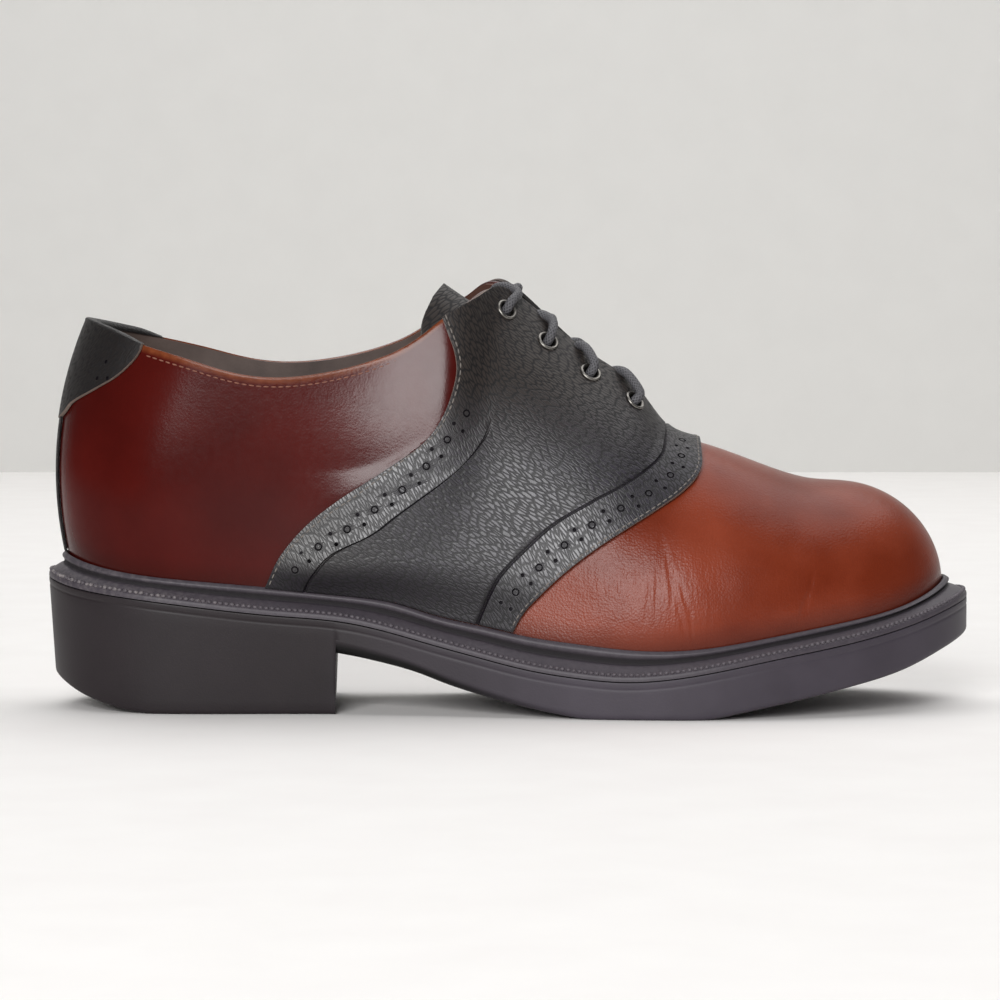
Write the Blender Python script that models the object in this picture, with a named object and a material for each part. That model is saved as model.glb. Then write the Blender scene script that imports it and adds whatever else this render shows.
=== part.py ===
"""Saddle oxford, right shoe, empty and standing on its sole.

Frame: +X to the toe, +Y to the inner (medial) side, +Z up, origin on the floor under the
middle of the sole. Sizes and tables are in millimetres, measured from near the back edge of
the sole along the shoe; every mesh is turned into metres in one place.
"""

import math
from collections import namedtuple

import bmesh
import bpy
import numpy as np
from mathutils import Matrix, Vector

MM = 0.001

# Driving dimensions, millimetres
SOLE_LENGTH = 297.2
SOLE_BACK = -0.6        # back edge of the sole in the tables
WALL = 2.2              # leather and lining of the upper
OVERLAY = 1.2           # leather of the saddle and the heel tab
CLEAR = 0.35            # space between pieces that lie on each other
WELT_EDGE = 2.2         # height of the welt's outer edge
INSOLE = 4.0
TONGUE = 2.2
STATION_STEP = 8.6      # spacing of the sections along the shoe
PROFILE_STEPS = 10      # spacing of the points up each section
SLIT_FADE = 14.0        # run over which the crest opens into the slit
HEEL_BREAST = 93.6
BREAST_RUN = 0.4
TAIL_HALF_WIDTH = 4.5   # strip down the back seam
OVERLAY_FOOT = 0.006    # share of the section's height where the overlays start

# Eyelets and lace, millimetres
EYELET_FROM_EDGE = 8.4
EYELET_BORE = 2.2
EYELET_BARREL = 2.6
EYELET_FLANGE = 3.4
EYELET_HEIGHT = 0.8
EYELET_ROUND = 0.3      # step in of the flange's top edge
EYELET_FLARE = 0.1      # step out of the bore at the top
EYELET_CUT = 2.9
EYELET_DEPTH = 2.0
EYELET_PUNCH = 16.0
EYELET_SIDES = 12
EYELET_X = (146.2, 159.6, 173.2, 187.0)
LACE_RADIUS = 1.5
LACE_SIDES = 8
LACE_POINTS = 7
LACE_PULL = 0.42        # share of its run that a lace leaves an eyelet flat
LACE_TUCK = 0.3         # share of a crossing that lies under the other facing

Section = namedtuple(
    "Section",
    "name foot_x foot_lat foot_med foot_z ridge_z ledge "
    "rim_x rim_mid rim_gap rim_z rim_rise lean rise droop reach",
)
# foot: where the upper leaves the welt's lip, rim: top edge or crest, ridge: top of the welt's
# edge, ledge: how far the sole stands out, rim_rise: extra height of the inner side's rim,
# lean and rise: angle and pull of the section at the foot, droop and reach: the same at the rim.
SECTIONS = (
    Section("toe tip", 288.4, 8.0, 8.0, 41.0, 36.6, 8.2, 262.0, 5.0, 0, 70.9, 0, -4, 14, 0, 15),
    Section("toe corner", 283.1, -10.5, 24.8, 38.0, 34.6, 7.6, 259.0, 4.8, 0, 71.5, 0, -1, 15, 0, 18),
    Section("toe side", 271.0, -24.4, 35.6, 33.2, 30.0, 6.8, 253.0, 4.5, 0, 72.1, 0, 4, 17, 0, 22),
    Section("toe back", 254.0, -34.2, 42.0, 29.4, 25.4, 6.2, 244.5, 4.0, 0, 72.8, 0, 8, 20, 0, 26),
    Section("vamp", 230.0, -42.4, 45.3, 25.2, 20.8, 6.0, 229.9, 3.2, 0, 77.2, 0, 10, 24, 0, 29),
    Section("ball", 205.0, -45.4, 43.8, 21.4, 15.8, 6.0, 210.0, 2.2, 0, 84.2, 0, 12, 29, 0, 30),
    Section("throat", 183.0, -44.2, 38.4, 21.4, 13.8, 6.0, 195.8, 1.5, 0, 91.2, 0, 12, 33, 8, 28),
    Section("facing low", 170.0, -42.2, 34.2, 22.8, 14.8, 6.0, 186.5, 1.3, 3.2, 102.8, 0, 12, 40, 22, 30),
    Section("facing mid", 154.0, -38.9, 29.2, 24.9, 17.2, 6.0, 168.0, 1.0, 4.0, 115.9, 0.4, 11, 46, 32, 33),
    Section("facing top", 138.0, -35.6, 25.8, 28.2, 21.0, 6.0, 146.2, 0.6, 4.6, 133.2, 2.4, 10, 48, 42, 36),
    Section("facing edge", 125.0, -33.3, 24.6, 31.0, 24.3, 6.0, 136.8, 0.3, 14.5, 130.7, 3.0, 10, 42, 56, 33),
    Section("facing back", 112.5, -31.6, 24.7, 34.8, 27.7, 6.0, 127.2, 0.1, 24.5, 124.2, 3.2, 10, 34, 68, 30),
    Section("collar front", 96.0, -30.2, 25.8, 37.3, 31.2, 5.9, 112.0, 0.0, 29.3, 113.8, 3.8, 11, 27, 80, 25),
    Section("collar dip", 76.0, -29.8, 28.2, 39.3, 33.0, 5.8, 80.0, 0.0, 31.3, 105.9, 4.4, 12, 23, 86, 21),
    Section("collar back", 50.0, -30.4, 30.2, 41.6, 35.8, 5.6, 50.0, 0.0, 29.6, 110.5, 3.8, 12, 23, 85, 22),
    Section("heel side", 28.0, -27.8, 27.8, 44.0, 38.7, 5.3, 31.0, 0.0, 24.6, 116.4, 2.4, 12, 23, 79, 24),
    Section("heel corner", 12.4, -17.0, 17.0, 47.2, 41.4, 5.9, 19.4, 0.0, 15.2, 120.7, 0.8, 13, 24, 71, 26),
    Section("heel back", 5.6, 0.0, 0.0, 49.5, 43.6, 6.2, 12.8, 0.0, 0, 123.0, 0, 12, 24, 67, 27),
)
SLIT_END = 6            # row of the table where the slit ends

Bottom = namedtuple("Bottom", "x z")
HEEL_BOTTOM = (
    Bottom(-0.6, 10.4), Bottom(8.0, 6.2), Bottom(16.0, 3.4), Bottom(24.0, 1.4),
    Bottom(32.0, 0.3), Bottom(38.0, 0.0), Bottom(HEEL_BREAST, 0.0),
)
SOLE_BOTTOM = (
    Bottom(HEEL_BREAST, 19.3), Bottom(103.0, 17.5), Bottom(117.0, 14.0), Bottom(131.0, 9.0),
    Bottom(149.0, 4.1), Bottom(165.0, 1.0), Bottom(176.0, 0.0), Bottom(206.0, 0.0),
    Bottom(223.0, 2.8), Bottom(248.7, 8.0), Bottom(270.0, 13.1), Bottom(287.0, 19.6),
    Bottom(297.0, 23.5),
)

SideRing = namedtuple("SideRing", "share inset taper")
# share: part of the side's height below its top, inset: step in from the outline,
# taper: part of the heel's draft reached at that height.
SOLE_SIDE = (
    SideRing(0.0, 0.9, 0.0), SideRing(0.03, 0.9, 0.0), SideRing(0.06, 0.0, 0.0),
    SideRing(0.9, 0.0, 0.9), SideRing(1.0, 1.0, 1.0),
)
SIDE_DRAFT = 2.0

WeltPoint = namedtuple("WeltPoint", "across lip ridge lift")
# across: share of the ledge, lip and ridge: shares of those two heights above the sole, lift: mm
WELT_PROFILE = (
    WeltPoint(0.0, 0.0, 0.0, 0.0),
    WeltPoint(0.0, 1.0, 0.0, 0.0),
    WeltPoint(0.20, 1.0, 0.0, -0.5),
    WeltPoint(0.34, 0.55, 0.45, 0.0),
    WeltPoint(0.46, 0.0, 1.0, -0.6),
    WeltPoint(0.62, 0.0, 1.0, 0.2),
    WeltPoint(0.92, 0.0, 1.0, -0.2),
    WeltPoint(1.0, 0.0, 1.0, -0.9),
    WeltPoint(1.0, 0.0, 0.0, 0.0),
)

TongueRow = namedtuple("TongueRow", "x z half_width drop")
TONGUE_ROWS = (
    TongueRow(207.0, 75.6, 10.0, 2.4),
    TongueRow(199.0, 81.2, 11.0, 3.0),
    TongueRow(190.0, 88.4, 12.0, 4.0),
    TongueRow(176.0, 99.8, 12.5, 4.6),
    TongueRow(160.0, 110.8, 13.0, 5.0),
    TongueRow(144.5, 121.4, 14.0, 6.0),
    TongueRow(132.0, 130.2, 16.5, 8.6),
    TongueRow(125.4, 135.0, 17.5, 11.0),
)
TONGUE_COLUMNS = 8
TONGUE_ENDS = (120.0, 210.0)
TONGUE_MIDDLE = (0.0, 1.2)   # y of the tongue's middle at those two places

EdgePoint = namedtuple("EdgePoint", "x z")
SADDLE_BACK = (
    EdgePoint(66.0, 28.0), EdgePoint(71.9, 41.8), EdgePoint(76.2, 50.2), EdgePoint(84.3, 59.5),
    EdgePoint(95.2, 67.9), EdgePoint(108.0, 76.0), EdgePoint(120.7, 85.0), EdgePoint(127.0, 93.7),
    EdgePoint(130.6, 104.6), EdgePoint(130.6, 112.4), EdgePoint(127.4, 122.0), EdgePoint(121.0, 140.0),
    EdgePoint(150.0, 150.0),
)
SADDLE_FRONT = (
    EdgePoint(210.0, 120.0), EdgePoint(208.8, 84.7), EdgePoint(208.0, 75.5), EdgePoint(202.4, 69.3),
    EdgePoint(192.7, 63.0), EdgePoint(179.1, 54.8), EdgePoint(167.6, 46.5), EdgePoint(157.7, 37.5),
    EdgePoint(150.9, 29.5), EdgePoint(144.0, 14.0),
)
TAB_EDGE = (
    EdgePoint(36.0, 128.0), EdgePoint(33.2, 116.5), EdgePoint(30.6, 111.4), EdgePoint(24.6, 105.8),
    EdgePoint(16.9, 101.4), EdgePoint(9.6, 97.4), EdgePoint(5.8, 93.4), EdgePoint(-4.0, 86.0),
)
# corners that close the tab's outline behind and above the heel
TAB_BEHIND = (EdgePoint(-20.0, 86.0), EdgePoint(-20.0, 140.0), EdgePoint(36.0, 140.0))
TAIL_LOW = (-20.0, -TAIL_HALF_WIDTH, 30.0)
TAIL_HIGH = (16.0, TAIL_HALF_WIDTH, 100.0)
CUTTER_HALF_WIDTH = 90.0


class LoopSpline:
    """Closed cubic spline through the knots, smooth to its second derivative."""

    def __init__(self, knots, values, period):
        self.knots = np.append(knots, period)
        self.values = np.vstack([values, values[:1]])
        self.period = period
        count = len(knots)
        step = np.diff(self.knots)
        system = np.zeros((count, count))
        right = np.zeros((count, values.shape[1]))
        for row in range(count):
            before, after = step[row - 1], step[row]
            system[row, row - 1] += before
            system[row, row] += 2.0 * (before + after)
            system[row, (row + 1) % count] += after
            rise = (self.values[row + 1] - self.values[row]) / after
            fall = (self.values[row] - self.values[row - 1 if row else count - 1]) / before
            right[row] = 6.0 * (rise - fall)
        bend = np.linalg.solve(system, right)
        self.bend = np.vstack([bend, bend[:1]])

    def __call__(self, at):
        at = np.mod(np.asarray(at, float), self.period)
        cell = np.clip(np.searchsorted(self.knots, at, side="right") - 1, 0, len(self.knots) - 2)
        start, end = self.knots[cell], self.knots[cell + 1]
        width = end - start
        low = ((end - at) / width)[:, None]
        high = ((at - start) / width)[:, None]
        square = (width ** 2 / 6.0)[:, None]
        return (low * self.values[cell] + high * self.values[cell + 1]
                + square * ((low ** 3 - low) * self.bend[cell]
                            + (high ** 3 - high) * self.bend[cell + 1]))


def section_knots():
    """Distance of each row from the toe tip, along the mean of both sides of the foot line."""
    at = [0.0]
    for first, second in zip(SECTIONS, SECTIONS[1:]):
        run = second.foot_x - first.foot_x
        outer = math.hypot(run, second.foot_lat - first.foot_lat)
        inner = math.hypot(run, second.foot_med - first.foot_med)
        at.append(at[-1] + 0.5 * (outer + inner))
    return np.array(at)


KNOTS = section_knots()
HALF = KNOTS[-1]
LOOP = 2.0 * HALF


def loop_spline():
    """All columns of the table as one closed curve: outer side to the heel, inner side back."""
    rows, at = [], []
    for index, section in enumerate(SECTIONS):
        rows.append((section.foot_lat, section.rim_mid - section.rim_gap) + shared_columns(section))
        at.append(KNOTS[index])
    for index in range(len(SECTIONS) - 2, 0, -1):
        section = SECTIONS[index]
        rows.append((section.foot_med, section.rim_mid + section.rim_gap) + shared_columns(section))
        at.append(LOOP - KNOTS[index])
    return LoopSpline(np.array(at), np.array(rows, float), LOOP)


def shared_columns(section):
    """The columns that are the same on both sides of the shoe."""
    return tuple(section[1:2]) + tuple(section[4:])


SPLINE = loop_spline()
COLUMNS = ("foot_y rim_y foot_x foot_z ridge_z ledge rim_x rim_mid rim_gap rim_z rim_rise "
           "lean rise droop reach").split()
Stations = namedtuple("Stations", "foot rim out ridge ledge lean rise droop reach slope")


def stations(at):
    """Foot, rim and shape of the sections at distances from the toe tip round the shoe."""
    at = np.mod(np.asarray(at, float), LOOP)
    column = dict(zip(COLUMNS, SPLINE(at).T))
    nudge = 0.05
    ahead = dict(zip(COLUMNS, SPLINE(at + nudge).T))
    behind = dict(zip(COLUMNS, SPLINE(at - nudge).T))
    along = np.stack([ahead["foot_x"] - behind["foot_x"], ahead["foot_y"] - behind["foot_y"]], 1)
    along /= np.linalg.norm(along, axis=1)[:, None]
    out = np.stack([-along[:, 1], along[:, 0]], 1)
    from_toe = np.minimum(at, LOOP - at)
    inner_side = at > HALF
    open_part = from_toe > KNOTS[SLIT_END]
    side = np.where(inner_side, 1.0, -1.0)
    gap = np.where(open_part, np.maximum((column["rim_y"] - column["rim_mid"]) * side, 0.0), 0.0)
    rise = np.where(open_part & inner_side, column["rim_rise"], 0.0)
    rim_y = column["rim_mid"] + gap * side
    foot = np.stack([column["foot_x"], column["foot_y"], column["foot_z"]], 1)
    rim = np.stack([column["rim_x"], rim_y, column["rim_z"] + rise], 1)
    near = np.maximum(from_toe, 1.0)
    first = dict(zip(COLUMNS, SPLINE(near).T))
    second = dict(zip(COLUMNS, SPLINE(near + 1.0).T))
    slope = (second["rim_z"] - first["rim_z"]) / (second["rim_x"] - first["rim_x"])
    fade = np.clip(1.0 - (from_toe - KNOTS[SLIT_END]) / SLIT_FADE, 0.0, 1.0)
    return Stations(foot, rim, out, column["ridge_z"], column["ledge"], np.radians(column["lean"]),
                    column["rise"], np.radians(column["droop"]), column["reach"], slope * fade)


def upper_points(at, share):
    """Points of the upper's outer face: one row a section, one column a share of its height."""
    st = stations(at)
    share = np.asarray(share, float)[None, :, None]
    up = np.array([0.0, 0.0, 1.0])
    flat = np.concatenate([st.out, np.zeros((len(st.out), 1))], 1)
    lift = up * np.cos(st.lean)[:, None] + flat * np.sin(st.lean)[:, None]
    angle = np.arctan(st.slope)
    crest = np.stack([st.out[:, 0] * np.cos(angle), st.out[:, 1], st.out[:, 0] * np.sin(angle)], 1)
    fall = crest * np.cos(st.droop)[:, None] - up * np.sin(st.droop)[:, None]
    p0 = st.foot[:, None, :]
    p1 = (st.foot + lift * st.rise[:, None])[:, None, :]
    p2 = (st.rim + fall * st.reach[:, None])[:, None, :]
    p3 = st.rim[:, None, :]
    rest = 1.0 - share
    return rest ** 3 * p0 + 3 * rest ** 2 * share * p1 + 3 * rest * share ** 2 * p2 + share ** 3 * p3


def surface_frame(at, share):
    """Point and outward normal of the upper's outer face at one place."""
    nudge = 0.4
    tiny = 0.004
    point = upper_points([at], [share])[0, 0]
    along = upper_points([at + nudge], [share])[0, 0] - upper_points([at - nudge], [share])[0, 0]
    upward = upper_points([at], [share + tiny])[0, 0] - upper_points([at], [share - tiny])[0, 0]
    normal = np.cross(upward, along)
    return point, normal / np.linalg.norm(normal)


def station_list(extra=()):
    """Section places round the shoe: table rows, evenly filled in, the same on both sides."""
    half = [0.0]
    for first, second in zip(KNOTS, KNOTS[1:]):
        count = max(1, round((second - first) / STATION_STEP))
        half.extend(np.linspace(first, second, count + 1)[1:])
    half = sorted(set(half) | set(extra))
    return np.array(half + [LOOP - at for at in reversed(half[1:-1])])


def to_scene(point):
    """Millimetres from the heel into metres from the middle of the sole."""
    return Vector(((point[0] - SOLE_BACK - 0.5 * SOLE_LENGTH) * MM, point[1] * MM, point[2] * MM))


def add_object(name, mesh_data):
    """Write a bmesh into a new named object of the scene."""
    mesh = bpy.data.meshes.new(name)
    mesh_data.to_mesh(mesh)
    mesh_data.free()
    part = bpy.data.objects.new(name, mesh)
    bpy.context.scene.collection.objects.link(part)
    return part


def ring_solid(name, rings, wrap):
    """Closed solid from rings of points; wrap joins the last ring to the first, else caps."""
    data = bmesh.new()
    rows = [[data.verts.new(to_scene(point)) for point in ring] for ring in rings]
    pairs = list(zip(rows, rows[1:] + rows[:1])) if wrap else list(zip(rows, rows[1:]))
    for first, second in pairs:
        for place in range(len(first)):
            after = (place + 1) % len(first)
            data.faces.new((first[place], first[after], second[after], second[place]))
    if not wrap:
        for row in (rows[0], rows[-1]):
            cap_across(data, row)
    bmesh.ops.recalc_face_normals(data, faces=data.faces)
    return add_object(name, data)


def cap_across(data, ring):
    """Close a ring with strips from the outer side to the inner side."""
    count = len(ring)
    for place in range(count // 2):
        corners = [ring[place], ring[place + 1], ring[(count - place - 1) % count], ring[-place]]
        single = [corner for index, corner in enumerate(corners) if corner not in corners[:index]]
        data.faces.new(single)


def sole_top(st):
    """Height of the sole under the welt at each section."""
    return st.ridge - WELT_EDGE


def plan_ring(st, step_out, height):
    """Ring of points a step outside the foot line, at a height for each section."""
    plan = st.foot[:, :2] + st.out * np.asarray(step_out).reshape(-1, 1)
    return np.column_stack([plan, height])


def breast_places():
    """Two sections, one each side of the heel's front face."""
    places = []
    for x in (HEEL_BREAST - 0.5 * BREAST_RUN, HEEL_BREAST + 0.5 * BREAST_RUN):
        low, high = 0.0, HALF
        for _ in range(50):
            middle = 0.5 * (low + high)
            if SPLINE([middle])[0][2] > x:
                low = middle
            else:
                high = middle
        places.append(low)
    return places


def bottom_height(x, is_heel):
    """Height of the sole's underside, heel rows and sole rows apart."""
    heel = np.interp(x, [row.x for row in HEEL_BOTTOM], [row.z for row in HEEL_BOTTOM])
    sole = np.interp(x, [row.x for row in SOLE_BOTTOM], [row.z for row in SOLE_BOTTOM])
    return np.where(is_heel, heel, sole)


def make_outsole():
    """Sole and heel in one, a stack of rings from the top edge to the tread edge."""
    st = stations(station_list(breast_places()))
    is_heel = st.foot[:, 0] < HEEL_BREAST
    top = sole_top(st)
    edge_x = st.foot[:, 0] + st.out[:, 0] * st.ledge
    bottom = bottom_height(edge_x, is_heel)
    rings = []
    for ring in SOLE_SIDE:
        inset = ring.inset + SIDE_DRAFT * ring.taper * is_heel
        height = top + (bottom - top) * ring.share
        rings.append(plan_ring(st, st.ledge - inset, height))
    return ring_solid("outsole", rings, wrap=False)


def make_welt():
    """Ring round the upper: lip, groove and stitched ridge, one outline a section."""
    st = stations(station_list())
    base = sole_top(st) + CLEAR
    lip = st.foot[:, 2] - base
    ridge = st.ridge - base
    rings = []
    for point in WELT_PROFILE:
        out = CLEAR + (st.ledge - CLEAR) * point.across
        rings.append(plan_ring(st, out, base + lip * point.lip + ridge * point.ridge + point.lift))
    outlines = np.stack(rings, 1)
    return ring_solid("welt", list(outlines), wrap=True)


def make_insole():
    """Footbed inside the upper, lying on the sole."""
    st = stations(station_list())
    low = sole_top(st) + CLEAR
    inside = np.full(len(low), -(WALL + CLEAR))
    rings = [plan_ring(st, inside, low), plan_ring(st, inside, low + INSOLE)]
    return ring_solid("insole", rings, wrap=False)


def upper_skin(with_margin, step_out):
    """The upper's outer face as one open sheet, moved out along its normals."""
    at = station_list()
    st = stations(at)
    share = np.linspace(0.0, 1.0, PROFILE_STEPS + 1)
    if not with_margin:
        share[0] = OVERLAY_FOOT
    grid = upper_points(at, share)
    if with_margin:
        margin = plan_ring(st, np.zeros(len(at)), sole_top(st) + CLEAR)
        grid = np.concatenate([margin[:, None, :], grid], 1)
    data = bmesh.new()
    rows = [[data.verts.new(to_scene(point)) for point in row] for row in grid]
    for first, second in zip(rows, rows[1:] + rows[:1]):
        for place in range(len(first) - 1):
            data.faces.new((first[place], first[place + 1], second[place + 1], second[place]))
    bmesh.ops.remove_doubles(data, verts=data.verts, dist=1e-6)
    bmesh.ops.triangulate(data, faces=data.faces, quad_method="FIXED")
    data.normal_update()
    for vert in data.verts:
        vert.co += vert.normal * step_out * MM
    return data


def thicken(part, thickness, inward):
    """Give a sheet its wall."""
    wall = part.modifiers.new("wall", "SOLIDIFY")
    wall.thickness = thickness * MM
    wall.offset = -1.0 if inward else 1.0
    wall.use_even_offset = True
    return part


def cut(part, cutter, operation):
    """Cut a piece with a hidden helper solid."""
    step = part.modifiers.new(cutter.name, "BOOLEAN")
    step.object = cutter
    step.operation = operation
    step.solver = "EXACT"
    cutter.hide_render = True
    cutter.display_type = "WIRE"
    return part


def side_prism(name, outline):
    """Side outline drawn straight across the shoe."""
    data = bmesh.new()
    near = [data.verts.new(to_scene((p.x, -CUTTER_HALF_WIDTH, p.z))) for p in outline]
    face = data.faces.new(near)
    grown = bmesh.ops.extrude_face_region(data, geom=[face])["geom"]
    moved = [item for item in grown if isinstance(item, bmesh.types.BMVert)]
    bmesh.ops.translate(data, verts=moved, vec=(0.0, 2.0 * CUTTER_HALF_WIDTH * MM, 0.0))
    bmesh.ops.recalc_face_normals(data, faces=data.faces)
    return add_object(name, data)


def box(name, low, high):
    """Block between two corners."""
    data = bmesh.new()
    bmesh.ops.create_cube(data, size=1.0)
    corner, opposite = to_scene(low), to_scene(high)
    size = opposite - corner
    bmesh.ops.scale(data, verts=data.verts, vec=size)
    bmesh.ops.translate(data, verts=data.verts, vec=0.5 * (corner + opposite))
    return add_object(name, data)


def facing_place(x, side):
    """Place round the shoe and share of the section for an eyelet, from its x on the slit edge."""
    low, high = KNOTS[SLIT_END], KNOTS[SLIT_END + 3]
    for _ in range(50):
        middle = 0.5 * (low + high)
        share = edge_share(middle)
        if upper_points([middle], [share])[0, 0, 0] > x:
            low = middle
        else:
            high = middle
    share = edge_share(low)
    return (low if side < 0 else LOOP - low), share


def edge_share(at):
    """Share of a section that lies the eyelet's distance below the slit edge."""
    shares = np.linspace(1.0, 0.5, 200)
    points = upper_points([at], shares)[0]
    runs = np.concatenate([[0.0], np.cumsum(np.linalg.norm(np.diff(points, axis=0), axis=1))])
    return float(np.interp(EYELET_FROM_EDGE, runs, shares))


Eyelet = namedtuple("Eyelet", "name point normal at")


def eyelet_places():
    """Name, place on the upper and outward normal of the eyelets, top row first."""
    places = []
    for side, label in ((-1, "lat"), (1, "med")):
        for row, x in enumerate(EYELET_X, 1):
            at, share = facing_place(x, side)
            point, normal = surface_frame(at, share)
            places.append(Eyelet(f"eyelet_{label}_{row}", point, normal, at))
    return places


def turned(name, outline, point, normal):
    """Ring turned from a radius and height outline about a normal."""
    axis = Vector(normal)
    turn = axis.to_track_quat("Z", "Y").to_matrix().to_4x4()
    place = Matrix.Translation(to_scene(point)) @ turn
    data = bmesh.new()
    corners = [data.verts.new((radius * MM, 0.0, height * MM)) for radius, height in outline]
    edges = [data.edges.new(pair) for pair in zip(corners, corners[1:] + corners[:1])]
    bmesh.ops.spin(data, geom=corners + edges, cent=(0, 0, 0), axis=(0, 0, 1),
                   angle=math.tau, steps=EYELET_SIDES, use_merge=True)
    bmesh.ops.remove_doubles(data, verts=data.verts, dist=1e-6)
    bmesh.ops.recalc_face_normals(data, faces=data.faces)
    data.transform(place)
    return add_object(name, data)


def make_eyelet(eyelet):
    """Flange on the saddle with a barrel down through the leather."""
    seat = CLEAR + OVERLAY + CLEAR
    top = seat + EYELET_HEIGHT
    outline = ((EYELET_BORE, -EYELET_DEPTH), (EYELET_BARREL, -EYELET_DEPTH), (EYELET_BARREL, seat),
               (EYELET_FLANGE, seat), (EYELET_FLANGE - EYELET_ROUND, top), (EYELET_BORE + EYELET_FLARE, top))
    return turned(eyelet.name, outline, eyelet.point, eyelet.normal)


def make_eyelet_cutter(places):
    """Eight pins that punch the eyelet holes."""
    data = bmesh.new()
    for eyelet in places:
        turn = Vector(eyelet.normal).to_track_quat("Z", "Y").to_matrix().to_4x4()
        bmesh.ops.create_cone(data, cap_ends=True, segments=EYELET_SIDES, radius1=EYELET_CUT * MM,
                              radius2=EYELET_CUT * MM, depth=EYELET_PUNCH * MM,
                              matrix=Matrix.Translation(to_scene(eyelet.point)) @ turn)
    return add_object("eyelet_punch", data)


def make_tongue():
    """Arched sheet under the slit; its sides drop square to its length."""
    data = bmesh.new()
    rows = []
    for index, row in enumerate(TONGUE_ROWS):
        before = TONGUE_ROWS[max(index - 1, 0)]
        after = TONGUE_ROWS[min(index + 1, len(TONGUE_ROWS) - 1)]
        length = math.hypot(after.x - before.x, after.z - before.z)
        down = np.array([-(after.z - before.z), 0.0, after.x - before.x]) / length
        mid = np.interp(row.x, TONGUE_ENDS, TONGUE_MIDDLE)
        points = []
        for column in range(TONGUE_COLUMNS + 1):
            share = 2.0 * column / TONGUE_COLUMNS - 1.0
            crest = np.array([row.x, mid + share * row.half_width, row.z])
            points.append(data.verts.new(to_scene(crest + down * row.drop * share ** 2)))
        rows.append(points)
    for first, second in zip(rows, rows[1:]):
        for place in range(TONGUE_COLUMNS):
            data.faces.new((first[place], second[place], second[place + 1], first[place + 1]))
    data.normal_update()
    return thicken(add_object("tongue", data), TONGUE, inward=True)


def tube(name, points):
    """Round cord along a run of points."""
    curve = bpy.data.curves.new(name, "CURVE")
    curve.dimensions = "3D"
    curve.bevel_depth = LACE_RADIUS * MM
    curve.bevel_resolution = LACE_SIDES // 4 - 1
    curve.use_fill_caps = True
    line = curve.splines.new("POLY")
    line.points.add(len(points) - 1)
    for knot, point in zip(line.points, points):
        knot.co = (*to_scene(point), 1.0)
    holder = bpy.data.objects.new(name, curve)
    bpy.context.scene.collection.objects.link(holder)
    bpy.context.view_layer.update()
    shape = holder.evaluated_get(bpy.context.evaluated_depsgraph_get())
    mesh = bpy.data.meshes.new_from_object(shape)
    bpy.data.objects.remove(holder)
    data = bmesh.new()
    data.from_mesh(mesh)
    bmesh.ops.remove_doubles(data, verts=data.verts, dist=1e-6)
    bmesh.ops.recalc_face_normals(data, faces=data.faces)
    return add_object(name, data)


def lace_run(start, end, end_inset):
    """Points of a lace from above one eyelet, over the slit, towards the eyelet opposite."""
    lift = CLEAR + OVERLAY + CLEAR + EYELET_HEIGHT + 2.0 * CLEAR + LACE_RADIUS
    first = start.point + start.normal * lift
    last = end.point + end.normal * lift
    pull = LACE_PULL * np.linalg.norm(last - first)
    leave = first + flat_direction(last - first, start.normal) * pull
    arrive = last + flat_direction(first - last, end.normal) * pull
    points = []
    for share in np.linspace(0.0, 1.0 - end_inset, LACE_POINTS):
        rest = 1.0 - share
        points.append(rest ** 3 * first + 3 * rest ** 2 * share * leave
                      + 3 * rest * share ** 2 * arrive + share ** 3 * last)
    return points


def flat_direction(way, normal):
    """The part of a direction that lies along the surface, unit long."""
    flat = way - normal * np.dot(way, normal)
    return flat / np.linalg.norm(flat)


def make_laces(places):
    """Three crossings between the rows and a bar over the top row."""
    outer, inner = places[:len(EYELET_X)], places[len(EYELET_X):]
    tube("lace_bar", lace_run(outer[0], inner[0], 0.0))
    for row in range(1, len(EYELET_X)):
        name = f"lace_cross_{row}"
        cross = tube(name, lace_run(outer[row], inner[row - 1], LACE_TUCK))
        other = tube(name + "_helper", lace_run(inner[row], outer[row - 1], LACE_TUCK))
        cut(cross, other, "UNION")


def clear_scene():
    """Start from an empty scene."""
    for item in list(bpy.data.objects):
        bpy.data.objects.remove(item)


def main():
    clear_scene()
    places = eyelet_places()
    punch = make_eyelet_cutter(places)
    make_outsole()
    make_welt()
    make_insole()
    upper = add_object("upper", upper_skin(with_margin=True, step_out=0.0))
    cut(thicken(upper, WALL, inward=True), punch, "DIFFERENCE")
    saddle = add_object("saddle", upper_skin(with_margin=False, step_out=CLEAR))
    thicken(saddle, OVERLAY, inward=False)
    cut(saddle, side_prism("saddle_outline", SADDLE_BACK + SADDLE_FRONT), "INTERSECT")
    cut(saddle, punch, "DIFFERENCE")
    tab = add_object("heel_tab", upper_skin(with_margin=False, step_out=CLEAR))
    thicken(tab, OVERLAY, inward=False)
    tab_shape = side_prism("tab_outline", TAB_EDGE + TAB_BEHIND)
    tail = box("tail_outline", TAIL_LOW, TAIL_HIGH)
    cut(tab_shape, tail, "UNION")
    cut(tab, tab_shape, "INTERSECT")
    make_tongue()
    for eyelet in places:
        make_eyelet(eyelet)
    make_laces(places)


main()
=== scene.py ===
# %% [markdown]
# # Dressing a saddle oxford
# The frame holds the plain solids of a right shoe. In this lesson every one of them is replaced
# by a finished piece: leather drawn over the last, a welted rubber sole, eyelets, lace and thread.
# The tables are in millimetres, measured along the shoe from near the back of the sole, because
# that is how a shoemaker measures; one helper turns them into the frame's metres.

# %% Load the frame
import math

import bpy
import numpy as np
from mathutils import Matrix, Vector


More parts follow.
